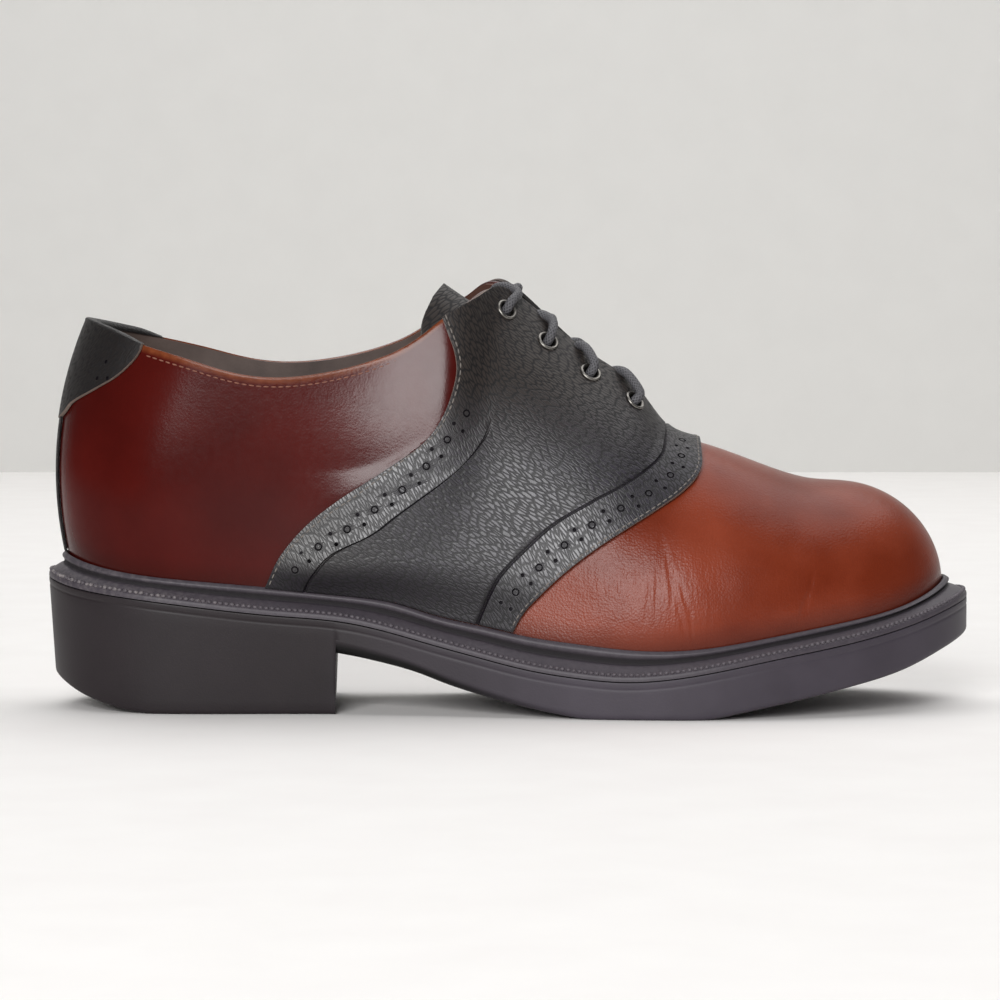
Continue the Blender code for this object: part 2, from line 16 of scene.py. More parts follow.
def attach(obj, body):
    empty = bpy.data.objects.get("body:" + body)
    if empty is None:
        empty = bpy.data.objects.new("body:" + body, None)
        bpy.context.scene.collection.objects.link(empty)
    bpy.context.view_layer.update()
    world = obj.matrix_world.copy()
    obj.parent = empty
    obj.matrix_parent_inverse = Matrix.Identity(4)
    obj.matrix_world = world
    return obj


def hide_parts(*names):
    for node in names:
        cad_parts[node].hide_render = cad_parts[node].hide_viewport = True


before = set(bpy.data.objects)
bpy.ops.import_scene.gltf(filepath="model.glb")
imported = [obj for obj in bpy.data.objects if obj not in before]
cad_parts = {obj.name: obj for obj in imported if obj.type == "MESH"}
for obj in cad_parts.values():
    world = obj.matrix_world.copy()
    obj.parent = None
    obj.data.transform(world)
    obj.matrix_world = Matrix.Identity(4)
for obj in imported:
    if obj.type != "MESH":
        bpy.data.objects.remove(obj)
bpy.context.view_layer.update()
SOLE_LENGTH = 297.2
SOLE_BACK = -0.6
MIDDLE = np.array([SOLE_BACK + 0.5 * SOLE_LENGTH, 0.0, 0.0])


def metres(points):
    """Millimetres along the shoe into metres in the frame."""
    return (np.asarray(points, float) - MIDDLE) * 0.001


print("solids in the frame:", len(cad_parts))

# %% [markdown]
# ## Camera, floor and light
# The camera stands level with the shoe about a metre away, with a long lens, so the side of the
# shoe is hardly foreshortened. The floor is a sheet of pale paper: a plane whose far edge is
# extruded up into a wall. Polished leather shows its lamps like a dull mirror, so the lamps were
# placed backwards: from each highlight in the picture to where its light must have come from. That
# gives one window-like lamp behind the camera, a little to the heel's side, and a broad ceiling.

# %% Camera
CAMERA_PLACE = (-0.0031, -1.075, 0.1205)
CAMERA_DIP = 2.92
bpy.ops.object.select_all(action="DESELECT")
bpy.ops.object.camera_add(location=CAMERA_PLACE)
camera = bpy.context.active_object
camera.name = "side_camera"
camera.rotation_euler = (math.radians(90.0 - CAMERA_DIP), 0.0, 0.0)
camera.data.lens = 120.0
camera.data.sensor_width = 36.0
bpy.context.scene.camera = camera
print("camera", tuple(round(value, 4) for value in camera.location))

# %% Paper floor
FLOOR_SIZE = 8.0
WALL_PLACE = 1.75
WALL_HEIGHT = 3.0
FAR_EDGE = WALL_PLACE - 0.1
bpy.ops.object.select_all(action="DESELECT")
bpy.ops.mesh.primitive_plane_add(size=FLOOR_SIZE, location=(0.0, WALL_PLACE - 0.5 * FLOOR_SIZE, 0.0))
floor = bpy.context.active_object
floor.name = "paper_floor"
bpy.ops.object.transform_apply(location=True)
for edge in floor.data.edges:
    edge.select = all(floor.data.vertices[corner].co.y > FAR_EDGE for corner in edge.vertices)
for vertex in floor.data.vertices:
    vertex.select = vertex.co.y > FAR_EDGE
floor.data.polygons[0].select = False
bpy.ops.object.mode_set(mode="EDIT")
bpy.ops.mesh.select_mode(type="EDGE")
bpy.ops.mesh.extrude_edges_move(TRANSFORM_OT_translate={"value": (0.0, 0.0, WALL_HEIGHT)})
bpy.ops.object.mode_set(mode="OBJECT")
floor.data.polygons[1].material_index = 1
print("floor reaches back to", WALL_PLACE)


# %% Lamps
def lamp(name, place, aim, size, power):
    """A rectangular soft lamp that looks at a point."""
    bpy.ops.object.select_all(action="DESELECT")
    bpy.ops.object.light_add(type="AREA", location=place)
    light = bpy.context.active_object
    light.name = name
    light.data.shape = "RECTANGLE"
    light.data.size, light.data.size_y = size
    light.data.energy = power
    way = Vector(aim) - Vector(place)
    light.rotation_euler = way.to_track_quat("-Z", "Y").to_euler()
    return light


lamp("window", place=(-0.49, -2.25, 0.92), aim=(0.0, 0.0, 0.07), size=(1.07, 1.07), power=50.0)
lamp("ceiling", place=(0.2, 0.65, 1.9), aim=(0.1, 0.3, 0.0), size=(2.8, 2.1), power=38.0)
room = bpy.data.worlds.new("pale_room")
bpy.context.scene.world = room
room.use_nodes = True
backdrop = room.node_tree.nodes["Background"]
backdrop.inputs["Color"].default_value = (0.86, 0.87, 0.88, 1.0)
backdrop.inputs["Strength"].default_value = 0.1
bpy.context.scene.view_settings.view_transform = "Standard"

# %% [markdown]
# ## The last
# Leather is pulled over a wooden last, so the last comes first. Each row below is one section of
# it: where the upper leaves the welt (foot), where it ends (rim), and how the section leans and
# curves between the two. A closed spline runs through all the rows, down the outer side to the
# heel and back up the inner side, which keeps the leather free of kinks. The rows are those of the
# solids, so the finished pieces lie where the solids are. Two things differ: in the waist the sides
# lean a little less far out, because the highlights of the saddle show them steeper there, and the
# rim of collar and facings is a few millimetres wider.

# %% Sections of the last
# foot_x foot_lat foot_med foot_z ridge_z ledge rim_x rim_mid rim_gap rim_z rim_rise lean rise droop reach
SECTIONS = {
    "toe tip": (288.4, 8.0, 8.0, 41.0, 36.6, 8.2, 262.0, 5.0, 0, 70.9, 0, -4, 14, 0, 15),
    "toe corner": (283.1, -10.5, 24.8, 38.0, 34.6, 7.6, 259.0, 4.8, 0, 71.5, 0, -1, 15, 0, 18),
    "toe side": (271.0, -24.4, 35.6, 33.2, 30.0, 6.8, 253.0, 4.5, 0, 72.1, 0, 4, 17, 0, 22),
    "toe back": (254.0, -34.2, 42.0, 29.4, 25.4, 6.2, 244.5, 4.0, 0, 72.8, 0, 8, 20, 0, 26),
    "vamp": (230.0, -42.4, 45.3, 25.2, 20.8, 6.0, 229.9, 3.2, 0, 77.2, 0, 10, 24, 0, 29),
    "ball": (205.0, -45.4, 43.8, 21.4, 15.8, 6.0, 210.0, 2.2, 0, 84.2, 0, 9, 29, 0, 30),
    "throat": (183.0, -44.2, 38.4, 21.4, 13.8, 6.0, 195.8, 1.5, 0, 91.2, 0, 3, 33, 8, 28),
    "facing low": (170.0, -42.2, 34.2, 22.8, 14.8, 6.0, 186.5, 1.3, 3.2, 102.8, 0, -3, 40, 22, 30),
    "facing mid": (154.0, -38.9, 29.2, 24.9, 17.2, 6.0, 168.0, 1.0, 4.0, 115.9, 0.4, -6, 46, 32, 33),
    "facing top": (138.0, -35.6, 25.8, 28.2, 21.0, 6.0, 146.2, 0.6, 4.6, 133.2, 2.4, -6, 48, 42, 36),
    "facing edge": (125.0, -33.3, 24.6, 31.0, 24.3, 6.0, 136.8, 0.3, 20.0, 130.7, 3.0, -5, 42, 61, 39),
    "facing back": (112.5, -31.6, 24.7, 34.8, 27.7, 6.0, 127.2, 0.1, 27.2, 124.2, 3.2, 0, 34, 73, 38),
    "collar front": (96.0, -30.2, 25.8, 37.3, 31.2, 5.9, 112.0, 0, 29.3, 113.8, 3.8, 7, 27, 80, 34),
    "collar dip": (76.0, -29.8, 28.2, 39.3, 33.0, 5.8, 80.0, 0, 32.2, 105.9, 4.4, 11, 23, 87, 23),
    "collar back": (50.0, -30.4, 30.2, 41.6, 35.8, 5.6, 50.0, 0, 31.6, 110.5, 3.8, 11, 23, 87, 22),
    "heel side": (28.0, -27.8, 27.8, 44.0, 38.7, 5.3, 31.0, 0, 25.6, 116.4, 2.4, 12, 23, 80, 24),
    "heel corner": (12.4, -17.0, 17.0, 47.2, 41.4, 5.9, 19.4, 0, 15.2, 120.7, 0.8, 13, 24, 71, 26),
    "heel back": (5.6, 0, 0, 49.5, 43.6, 6.2, 12.8, 0, 0, 123.0, 0, 12, 24, 67, 27),
}
SECTION_NAMES = list(SECTIONS)
rows = np.array(list(SECTIONS.values()), float)
foot_x, foot_lat, foot_med, rim_mid, rim_gap = rows[:, 0], rows[:, 1], rows[:, 2], rows[:, 7], rows[:, 8]
steps = 0.5 * (np.hypot(np.diff(foot_x), np.diff(foot_lat)) + np.hypot(np.diff(foot_x), np.diff(foot_med)))
KNOTS = np.concatenate([[0.0], np.cumsum(steps)])
HALF = KNOTS[-1]
LOOP = 2.0 * HALF
SLIT_END = KNOTS[SECTION_NAMES.index("throat")]
SLIT_FADE = 14.0
print("once round the last:", round(LOOP, 1), "mm")


# %% Closed spline through the sections
COLUMNS = ("foot_y rim_y foot_x foot_lat foot_med foot_z ridge_z ledge "
           "rim_x rim_mid rim_gap rim_z rim_rise lean rise droop reach").split()
outer_side = np.column_stack([foot_lat, rim_mid - rim_gap, rows])
inner_side = np.column_stack([foot_med, rim_mid + rim_gap, rows])
spline_knots = np.concatenate([KNOTS, LOOP - KNOTS[-2:0:-1], [LOOP]])
spline_rows = np.vstack([outer_side, inner_side[-2:0:-1], outer_side[:1]])


def spline_bends(knots, values):
    """Second derivatives of the closed cubic spline at its knots."""
    gaps = np.diff(knots)
    count = len(gaps)
    system = np.zeros((count, count))
    right = np.zeros((count, values.shape[1]))
    for row in range(count):
        before, after = gaps[row - 1], gaps[row]
        previous = values[row - 1] if row else values[count - 1]
        system[row, row - 1] += before
        system[row, row] += 2.0 * (before + after)
        system[row, (row + 1) % count] += after
        right[row] = 6.0 * ((values[row + 1] - values[row]) / after - (values[row] - previous) / before)
    bends = np.linalg.solve(system, right)
    return np.vstack([bends, bends[:1]])


BENDS = spline_bends(spline_knots, spline_rows)


def section_values(at):
    """All columns of the table at distances round the last, by name."""
    at = np.mod(at, LOOP)
    cell = np.clip(np.searchsorted(spline_knots, at, side="right") - 1, 0, len(spline_knots) - 2)
    start, end = spline_knots[cell], spline_knots[cell + 1]
    width = end - start
    low, high = ((end - at) / width)[:, None], ((at - start) / width)[:, None]
    bend = (low ** 3 - low) * BENDS[cell] + (high ** 3 - high) * BENDS[cell + 1]
    values = low * spline_rows[cell] + high * spline_rows[cell + 1] + (width ** 2 / 6.0)[:, None] * bend
    return dict(zip(COLUMNS, values.T))


def foot_line(at):
    """Foot points, outward directions and the whole table at places round the last."""
    value = section_values(at)
    nudge = 0.05
    ahead, behind = section_values(at + nudge), section_values(at - nudge)
    along = np.column_stack([ahead["foot_x"] - behind["foot_x"], ahead["foot_y"] - behind["foot_y"]])
    along /= np.linalg.norm(along, axis=1)[:, None]
    out = np.column_stack([-along[:, 1], along[:, 0], np.zeros(len(along))])
    foot = np.column_stack([value["foot_x"], value["foot_y"], value["foot_z"]])
    return foot, out, value


UP = np.array([0.0, 0.0, 1.0])


def last_points(at, share):
    """Points of the upper's outer face: place round the last, share of the section's height."""
    at = np.mod(np.asarray(at, float), LOOP)
    share = np.asarray(share, float)[:, None]
    foot, out, value = foot_line(at)
    from_toe = np.minimum(at, LOOP - at)
    is_inner = at > HALF
    is_open = from_toe > SLIT_END
    side = np.where(is_inner, 1.0, -1.0)
    gap = np.where(is_open, np.maximum((value["rim_y"] - value["rim_mid"]) * side, 0.0), 0.0)
    extra = np.where(is_open & is_inner, value["rim_rise"], 0.0)
    rim = np.column_stack([value["rim_x"], value["rim_mid"] + gap * side, value["rim_z"] + extra])
    near = np.maximum(from_toe, 1.0)
    first, second = section_values(near), section_values(near + 1.0)
    slope = (second["rim_z"] - first["rim_z"]) / (second["rim_x"] - first["rim_x"])
    angle = np.arctan(slope * np.clip(1.0 - (from_toe - SLIT_END) / SLIT_FADE, 0.0, 1.0))
    lean, droop = np.radians(value["lean"])[:, None], np.radians(value["droop"])[:, None]
    lift = UP * np.cos(lean) + out * np.sin(lean)
    crest = np.column_stack([out[:, 0] * np.cos(angle), out[:, 1], out[:, 0] * np.sin(angle)])
    fall = crest * np.cos(droop) - UP * np.sin(droop)
    low = foot + lift * value["rise"][:, None]
    high = rim + fall * value["reach"][:, None]
    rest = 1.0 - share
    return rest ** 3 * foot + 3 * rest ** 2 * share * low + 3 * rest * share ** 2 * high + share ** 3 * rim


PLACE_NUDGE = 0.4
SHARE_NUDGE = 0.004


def last_normals(at, share):
    """Outward directions of the upper's outer face."""
    share = np.minimum(share, 1.0 - 2.0 * SHARE_NUDGE)
    along = last_points(at + PLACE_NUDGE, share) - last_points(at - PLACE_NUDGE, share)
    upward = last_points(at, share + SHARE_NUDGE) - last_points(at, share - SHARE_NUDGE)
    normal = np.cross(upward, along)
    return normal / np.linalg.norm(normal, axis=1)[:, None]


def on_last(at, share, lift=None):
    """A field of points on the last, each lifted off it by some millimetres."""
    at, share = np.broadcast_arrays(np.asarray(at, float), np.asarray(share, float))
    flat_at, flat_share = at.ravel(), share.ravel()
    points = last_points(flat_at, flat_share)
    if lift is not None:
        points = points + last_normals(flat_at, flat_share) * np.broadcast_to(lift, at.shape).reshape(-1, 1)
    return points.reshape(at.shape + (3,))


print("toe height", on_last(0.0, 1.0).round(1))


# %% [markdown]
# ## A sheet on the last
# Each leather piece starts as a flat grid, the way it starts as a flat cut skin, and the grid is
# then drawn over the last: every corner of the grid goes to its place on the surface. After that
# the usual tools finish it: merge by distance closes seams, Solidify gives it its thickness and
# Bevel softens its cut edges.

# %% Helpers for sheets
def only(piece):
    """Select one object and nothing else."""
    bpy.ops.object.select_all(action="DESELECT")
    piece.select_set(True)
    bpy.context.view_layer.objects.active = piece


def sheet(name, points, marks=None, uv=None):
    """A grid with one corner for each point, moved onto the points; marks are kept as attributes."""
    down, across = points.shape[:2]
    bpy.ops.object.select_all(action="DESELECT")
    bpy.ops.mesh.primitive_grid_add(x_subdivisions=across - 1, y_subdivisions=down - 1, size=1.0)
    piece = bpy.context.active_object
    piece.name = piece.data.name = name
    mesh = piece.data
    place = np.empty(3 * len(mesh.vertices))
    mesh.vertices.foreach_get("co", place)
    place = place.reshape(-1, 3)
    column = np.rint((place[:, 0] + 0.5) * (across - 1)).astype(int)
    row = np.rint((place[:, 1] + 0.5) * (down - 1)).astype(int)
    mesh.vertices.foreach_set("co", metres(points[row, column]).ravel())
    for mark, values in (marks or {}).items():
        layer = mesh.attributes.new(mark, "FLOAT", "POINT")
        layer.data.foreach_set("value", values[row, column].astype(np.float32))
    if uv is not None:
        corner = np.empty(len(mesh.loops), int)
        mesh.loops.foreach_get("vertex_index", corner)
        flat = uv[row, column][corner]
        mesh.uv_layers.active.data.foreach_set("uv", flat.astype(np.float32).ravel())
    mesh.update()
    return piece


def weld(piece, distance=0.000004):
    """Merge corners that lie on each other."""
    only(piece)
    bpy.ops.object.mode_set(mode="EDIT")
    bpy.ops.mesh.select_all(action="SELECT")
    bpy.ops.mesh.remove_doubles(threshold=distance)
    bpy.ops.object.mode_set(mode="OBJECT")
    return piece


def finish_with(piece, kind, **settings):
    """Add a modifier, set it and apply it."""
    only(piece)
    bpy.ops.object.modifier_add(type=kind)
    step = piece.modifiers[-1]
    for key, value in settings.items():
        setattr(step, key, value)
    bpy.ops.object.modifier_apply(modifier=step.name)
    return piece


def joined(pieces):
    """Join pieces into the first of them."""
    only(pieces[0])
    for piece in pieces[1:]:
        piece.select_set(True)
    bpy.ops.object.join()
    return pieces[0]


def face_outward(piece):
    """Let all faces of a piece agree on which side is out."""
    only(piece)
    bpy.ops.object.mode_set(mode="EDIT")
    bpy.ops.mesh.select_all(action="SELECT")
    bpy.ops.mesh.normals_make_consistent(inside=False)
    bpy.ops.object.mode_set(mode="OBJECT")


def smooth(piece, angle=40.0):
    """Smooth shading with sharp cut edges."""
    only(piece)
    bpy.ops.object.shade_smooth_by_angle(angle=math.radians(angle))
    return piece


def dress(piece, *finishes):
    """Name the finishes of a piece; their nodes are built further down."""
    for name in finishes:
        piece.data.materials.append(bpy.data.materials.get(name) or bpy.data.materials.new(name))


def belongs(piece, slot, *nodes):
    """The piece rides with the shoe and stands for solids; the slot is not used."""
    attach(piece, "root")
    if nodes:
        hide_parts(*nodes)
    print(piece.name, len(piece.data.polygons), "faces")
    return piece


def run_lengths(points, axis):
    """Distance along rows or columns of points from their start."""
    gaps = np.linalg.norm(np.diff(points, axis=axis), axis=-1)
    start = np.zeros_like(np.take(gaps, [0], axis=axis))
    return np.concatenate([start, np.cumsum(gaps, axis=axis)], axis=axis)


# %% [markdown]
# ## Creases in the vamp
# Walking folds the vamp across the ball of the foot. The folds are soft troughs and ridges. They
# could be sculpted, but a table is easier to correct: each row is a line on the side
# of the shoe with a width and a depth, and the leather sinks towards it like a bell curve. The lines
# that fan out low on the outer side are narrow, so the grid is finer there.

# %% Crease table
# side (-1 outer, 1 inner), top x and z, foot x and z, half width, depth; a negative depth is a ridge
CREASES = (
    (-1, 197.2, 50.7, 200.5, 32.7, 0.6, 0.19),
    (-1, 198.4, 49.0, 201.8, 33.5, 0.5, -0.12),
    (-1, 195.9, 54.2, 198.5, 35.8, 0.6, 0.18),
    (-1, 198.5, 45.5, 203.6, 34.2, 0.6, 0.17),
    (-1, 193.8, 46.0, 192.8, 30.6, 0.6, 0.13),
    (-1, 191.3, 40.4, 189.7, 29.1, 0.6, 0.12),
    (-1, 194.9, 57.2, 195.1, 39.2, 0.6, 0.13),
    (-1, 184.3, 46.3, 182.3, 39.2, 0.50, 0.06),
    (-1, 181.4, 43.9, 179.9, 36.4, 0.50, 0.06),
    (-1, 150.0, 27.0, 200.0, 23.0, 9.0, -0.50),
    (-1, 203.6, 32.8, 204.6, 24.4, 0.6, 0.17),
    (-1, 201.0, 31.6, 202.5, 25.0, 0.6, 0.16),
    (-1, 242.6, 44.4, 239.5, 30.5, 0.6, 0.28),
    (-1, 240.4, 38.2, 238.0, 30.1, 0.6, 0.26),
    (-1, 207.0, 70.0, 214.0, 36.0, 6.5, 0.40),
    (-1, 226.0, 70.0, 231.0, 44.0, 7.0, -0.30),
    (-1, 236.5, 56.0, 236.0, 36.0, 3.0, 0.20),
    (1, 199.0, 52.0, 202.0, 34.0, 0.55, 0.15),
    (1, 195.0, 48.0, 196.0, 32.0, 0.55, 0.13),
    (1, 203.0, 46.0, 206.0, 33.0, 0.55, 0.12),
    (1, 239.0, 45.0, 237.0, 32.0, 0.55, 0.14),
    (1, 210.0, 72.0, 217.0, 38.0, 6.5, 0.40),
    (1, 227.0, 70.0, 231.0, 44.0, 7.0, -0.30),
)
WRINKLE_REACH = 11.0
CREASE_TAPER = 0.25
NARROW = 1.0


def crease_field(points):
    """How far the leather sinks at each point, and how wrinkled its grain is there."""
    sink = np.zeros(points.shape[:-1])
    worn = np.zeros(points.shape[:-1])
    for side, top_x, top_z, low_x, low_z, width, depth in CREASES:
        way = np.array([low_x - top_x, low_z - top_z])
        length = np.linalg.norm(way)
        way /= length
        from_top = np.stack([points[..., 0] - top_x, points[..., 2] - top_z], -1)
        along = (from_top @ way) / length
        across = from_top[..., 0] * -way[1] + from_top[..., 1] * way[0]
        from_end = np.minimum(along + CREASE_TAPER, 1.0 + CREASE_TAPER - along)
        ends = np.clip(from_end / (2.0 * CREASE_TAPER), 0.0, 1.0)
        ends = ends * ends * (3.0 - 2.0 * ends)
        right_side = np.where(points[..., 1] * side > 0.0, 1.0, 0.0)
        bell = np.exp(-(across / width) ** 2) * ends * right_side
        sink += depth * bell
        if width < NARROW:
            worn = np.maximum(worn, np.exp(-(across / WRINKLE_REACH) ** 2) * ends * right_side)
    return sink, worn


print("creases placed by hand:", len(CREASES))


# %% Places round the last
FINE_ZONES = ((178.0, 208.0), (233.0, 246.0))


def half_places(coarse, fine):
    """Places from the toe tip to the heel back, closer together where the vamp is creased."""
    dense = np.linspace(0.0, HALF, 4000)
    x = section_values(dense)["foot_x"]
    step = np.full(len(dense), coarse)
    for low, high in FINE_ZONES:
        step = np.where((x > low) & (x < high), fine, step)
    count = np.concatenate([[0.0], np.cumsum(np.diff(dense) / step[1:])])
    total = int(math.ceil(count[-1]))
    return np.interp(np.linspace(0.0, count[-1], total + 1), count, dense)


def round_places(coarse, fine):
    """The same places on both sides, once round."""
    half = half_places(coarse, fine)
    return np.concatenate([half, LOOP - half[-2::-1]])


# %% [markdown]
# ## Lines drawn in side view
# The edges of the saddle and the lines on its bands are drawn in side view, as a pattern cutter sees
# them. On every level of the last we look for the place where a line crosses it, so the columns of
# a grid can follow the lines exactly.

# %% Saddle outlines, x and z in side view
SADDLE_REAR = ((66.0, 28.0), (71.9, 41.8), (76.2, 50.2), (84.3, 59.5), (95.2, 67.9), (108.0, 76.0),
               (120.7, 85.0), (127.0, 93.7), (130.6, 104.6), (130.6, 112.4), (127.4, 122.0), (121.0, 140.0))
REAR_LINE = ((77.0, 23.0), (82.8, 36.8), (86.5, 44.2), (92.8, 51.0), (104.8, 56.9), (112.9, 63.0),
             (127.5, 73.9), (137.4, 83.5), (141.5, 90.7), (144.0, 101.0), (144.0, 113.0), (141.0, 124.0),
             (137.0, 140.0))
FRONT_LINE = ((134.0, 18.0), (139.0, 31.0), (143.3, 40.2), (146.8, 45.2), (154.2, 52.7), (162.4, 59.7),
              (173.0, 65.8), (184.4, 71.8), (194.2, 78.5), (196.8, 84.0), (198.0, 95.0), (199.0, 120.0))
SADDLE_FRONT = ((144.0, 14.0), (150.9, 29.5), (157.7, 37.5), (167.6, 46.5), (179.1, 54.8), (192.7, 63.0),
                (202.4, 69.3), (208.0, 75.5), (208.8, 84.7), (210.0, 120.0))


def soft_run(points, per_span):
    """A soft curve through points."""
    given = np.asarray(points, float)
    given = np.vstack([2 * given[0] - given[1], given, 2 * given[-1] - given[-2]])
    t = np.linspace(0.0, 1.0, per_span, endpoint=False)[:, None]
    spans = []
    for a, b, c, d in zip(given, given[1:], given[2:], given[3:]):
        cubic = (2 * a - 5 * b + 4 * c - d) * t ** 2 + (3 * b - a - 3 * c + d) * t ** 3
        spans.append(0.5 * (2 * b + (c - a) * t + cubic))
    return np.vstack(spans + [given[-2:-1]])


HALVINGS = 44


def line_places(outline, share):
    """Where a side-view line crosses each level of the outer side, as places round the last."""
    curve = soft_run(outline, 24)
    low, high = np.full(len(share), KNOTS[3]), np.full(len(share), KNOTS[-4])
    for _ in range(HALVINGS):
        middle = 0.5 * (low + high)
        point = last_points(middle, share)
        ahead = point[:, 0] > np.interp(point[:, 2], curve[:, 1], curve[:, 0])
        low, high = np.where(ahead, middle, low), np.where(ahead, high, middle)
    return low


saddle_share = np.linspace(0.002, 1.0, 150)
front_edge = line_places(SADDLE_FRONT, saddle_share)
front_line = line_places(FRONT_LINE, saddle_share)
rear_line = line_places(REAR_LINE, saddle_share)
rear_edge = line_places(SADDLE_REAR, saddle_share)
print("saddle foot from", round(front_edge[0], 1), "to", round(rear_edge[0], 1), "mm round the last")

# %% [markdown]
# ## The brown upper
# Vamp and quarters are one skin here: the saddle hides the seam between them, so cutting them apart
# would show nowhere. The skin has a leather thickness of its own and goes a little below the foot
# line, where the welt hides it. Along the saddle's rear edge it swells a little.

# %% Brown upper
SKIN = 1.3
UPPER_LEVELS = 72
UPPER_STEP = 1.75
CREASE_STEP = 0.5
INWARD = {"offset": -1.0, "use_even_offset": True}
CUT_EDGE = {"limit_method": "ANGLE", "angle_limit": math.radians(60.0)}
WELT_EDGE = 2.2
CLEAR = 0.35
SWELL = 0.9
SWELL_REACH = 10.0
SWELL_UNDER = 1.5
SWELL_PEAK = 3.0
SWELL_ROUND = 4.0


def edge_swell(at, share):
    """How far the quarter rises near the saddle's rear edge; the crest lies under the saddle."""
    from_edge = np.minimum(at, LOOP - at) - np.interp(share, saddle_share, rear_edge) + SWELL_PEAK
    reach = np.where(from_edge > 0.0, SWELL_REACH, SWELL_UNDER)
    return SWELL * np.exp((SWELL_ROUND - np.hypot(from_edge, SWELL_ROUND)) / reach)


def drawn_sheet(name, at, share, base_lift, creased):
    """A sheet drawn over the last with its turned-in margin, and its distances to rim and foot."""
    grid_at, grid_share = at[:, None], share[None, :]
    flat = on_last(grid_at, grid_share)
    sink, worn = np.zeros(flat.shape[:2]), np.zeros(flat.shape[:2])
    if creased:
        sink, worn = crease_field(flat)
        sink = sink - edge_swell(grid_at, grid_share)
    points = on_last(grid_at, grid_share, base_lift - sink)
    foot, out, value = foot_line(at)
    low = foot + out * base_lift
    low[:, 2] = value["ridge_z"] - WELT_EDGE + CLEAR
    points = np.concatenate([low[:, None, :], points], 1)
    worn = np.concatenate([worn[:, :1], worn], 1)
    climb = run_lengths(points, 1)
    marks = {"below_rim": climb[:, -1:] - climb, "above_foot": climb - climb[:, 1:2], "creased": worn}
    return sheet(name, points, marks)


upper_at = round_places(UPPER_STEP, CREASE_STEP)
upper = drawn_sheet("brown_upper", upper_at, np.linspace(0.0, 1.0, UPPER_LEVELS), 0.0, creased=True)
weld(upper)
dress(upper, "waxed_brown_calf")
finish_with(upper, "SOLIDIFY", thickness=SKIN * 0.001, **INWARD)
finish_with(upper, "BEVEL", width=0.0003, segments=2, **CUT_EDGE)
smooth(upper)
print("upper", len(upper.data.polygons), "faces")

# %% [markdown]
# ## The lining
# A thinner, softer skin lies inside the upper. It is drawn over the same last, set in by the
# thickness of the brown leather, and ends just under the rim.

# %% Lining
LINING = 0.8
LINING_STEP = 2.6
LINING_LEVELS = 44
LINING_TOP = 0.994
LINING_GAP = 0.06
lining_at = round_places(LINING_STEP, LINING_STEP)
lining_share = np.linspace(0.0, LINING_TOP, LINING_LEVELS)
lining = drawn_sheet("soft_lining", lining_at, lining_share, -(SKIN + LINING_GAP), creased=False)
weld(lining)
dress(lining, "worn_lining_kid")
finish_with(lining, "SOLIDIFY", thickness=LINING * 0.001, **INWARD)
smooth(lining)
print("lining", len(lining.data.polygons), "faces")

# %% [markdown]
# ## The saddle
# The black saddle is cut from grained leather and wraps the instep. The columns of its grid follow
# its edges and the band lines. The band lines are pressed grooves, so the columns beside them are
# close together, and the grooves need no cut of their own. From the foot up to the facings the waist
# is softly padded, most of all low down beside the rear line, which is what catches the light there.
# Solidify gives the rim faces a finish of their own: the raw cut edge.

# %% Saddle columns
OVERLAY = 1.2
GROOVE_HALF_WIDTH = 0.75
GROOVE_DEPTH = 0.55
BAND_RAISE = 0.3
stops = (front_edge, front_line - GROOVE_HALF_WIDTH, front_line, front_line + GROOVE_HALF_WIDTH,
         rear_line - GROOVE_HALF_WIDTH, rear_line, rear_line + GROOVE_HALF_WIDTH, rear_edge)
stop_heights = (BAND_RAISE, BAND_RAISE, -GROOVE_DEPTH, 0.0, 0.0, -GROOVE_DEPTH, BAND_RAISE, BAND_RAISE)
stop_cells = (16, 3, 3, 56, 3, 3, 18)
# the run between the two bands
BODY = stop_cells.index(max(stop_cells))
print("saddle columns on each side:", sum(stop_cells) + 1)

# %% Saddle padding
PADDING = 3.4
PADDING_HUMP = 0.15
PADDING_TOP = 0.85
PADDING_FULL = 0.1
SOFTENED = 13
padded = PADDING * np.interp(saddle_share, (0.0, PADDING_FULL, PADDING_TOP), (0.0, 1.0, 0.0))
padded = np.convolve(np.pad(padded, SOFTENED // 2, mode="edge"), np.full(SOFTENED, 1.0 / SOFTENED), "valid")
stop_padding = (0.15, 0.4, 0.45, 0.5, 1.0, 1.0, 1.0, 0.05)
print("padding up to", round(padded.max(), 1), "mm")

# %% Saddle lift
LINE_ENDS = 92.0
LINE_FADE = 5.0
fade_out = np.clip((LINE_ENDS - on_last(rear_line, saddle_share)[:, 2]) / LINE_FADE, 0.0, 1.0)
saddle_at, saddle_lift = [front_edge], [BAND_RAISE + stop_padding[0] * padded]
for index, cells in enumerate(stop_cells):
    for cell in range(1, cells + 1):
        part = cell / cells
        eased = part * part * (3.0 - 2.0 * part)
        height = stop_heights[index] + (stop_heights[index + 1] - stop_heights[index]) * eased
        padding = stop_padding[index] + (stop_padding[index + 1] - stop_padding[index]) * part
        if index == BODY:
            padding += PADDING_HUMP * math.sin(math.pi * part)
        saddle_at.append(stops[index] + (stops[index + 1] - stops[index]) * part)
        saddle_lift.append(height * (fade_out if index > BODY else 1.0) + padding * padded)
saddle_at, saddle_lift = np.array(saddle_at), np.array(saddle_lift)
on_band = (saddle_at <= front_line) | (saddle_at >= rear_line)
print("lift of the saddle's face:", saddle_lift.min().round(2), "to", saddle_lift.max().round(2), "mm")


# %% Saddle leather
def section_climb(at, share):
    """Distance up each section from the foot to a share of its height."""
    parts = np.linspace(0.0, 1.0, 20)
    return run_lengths(np.stack([on_last(at, share * part) for part in parts]), 0)[-1]


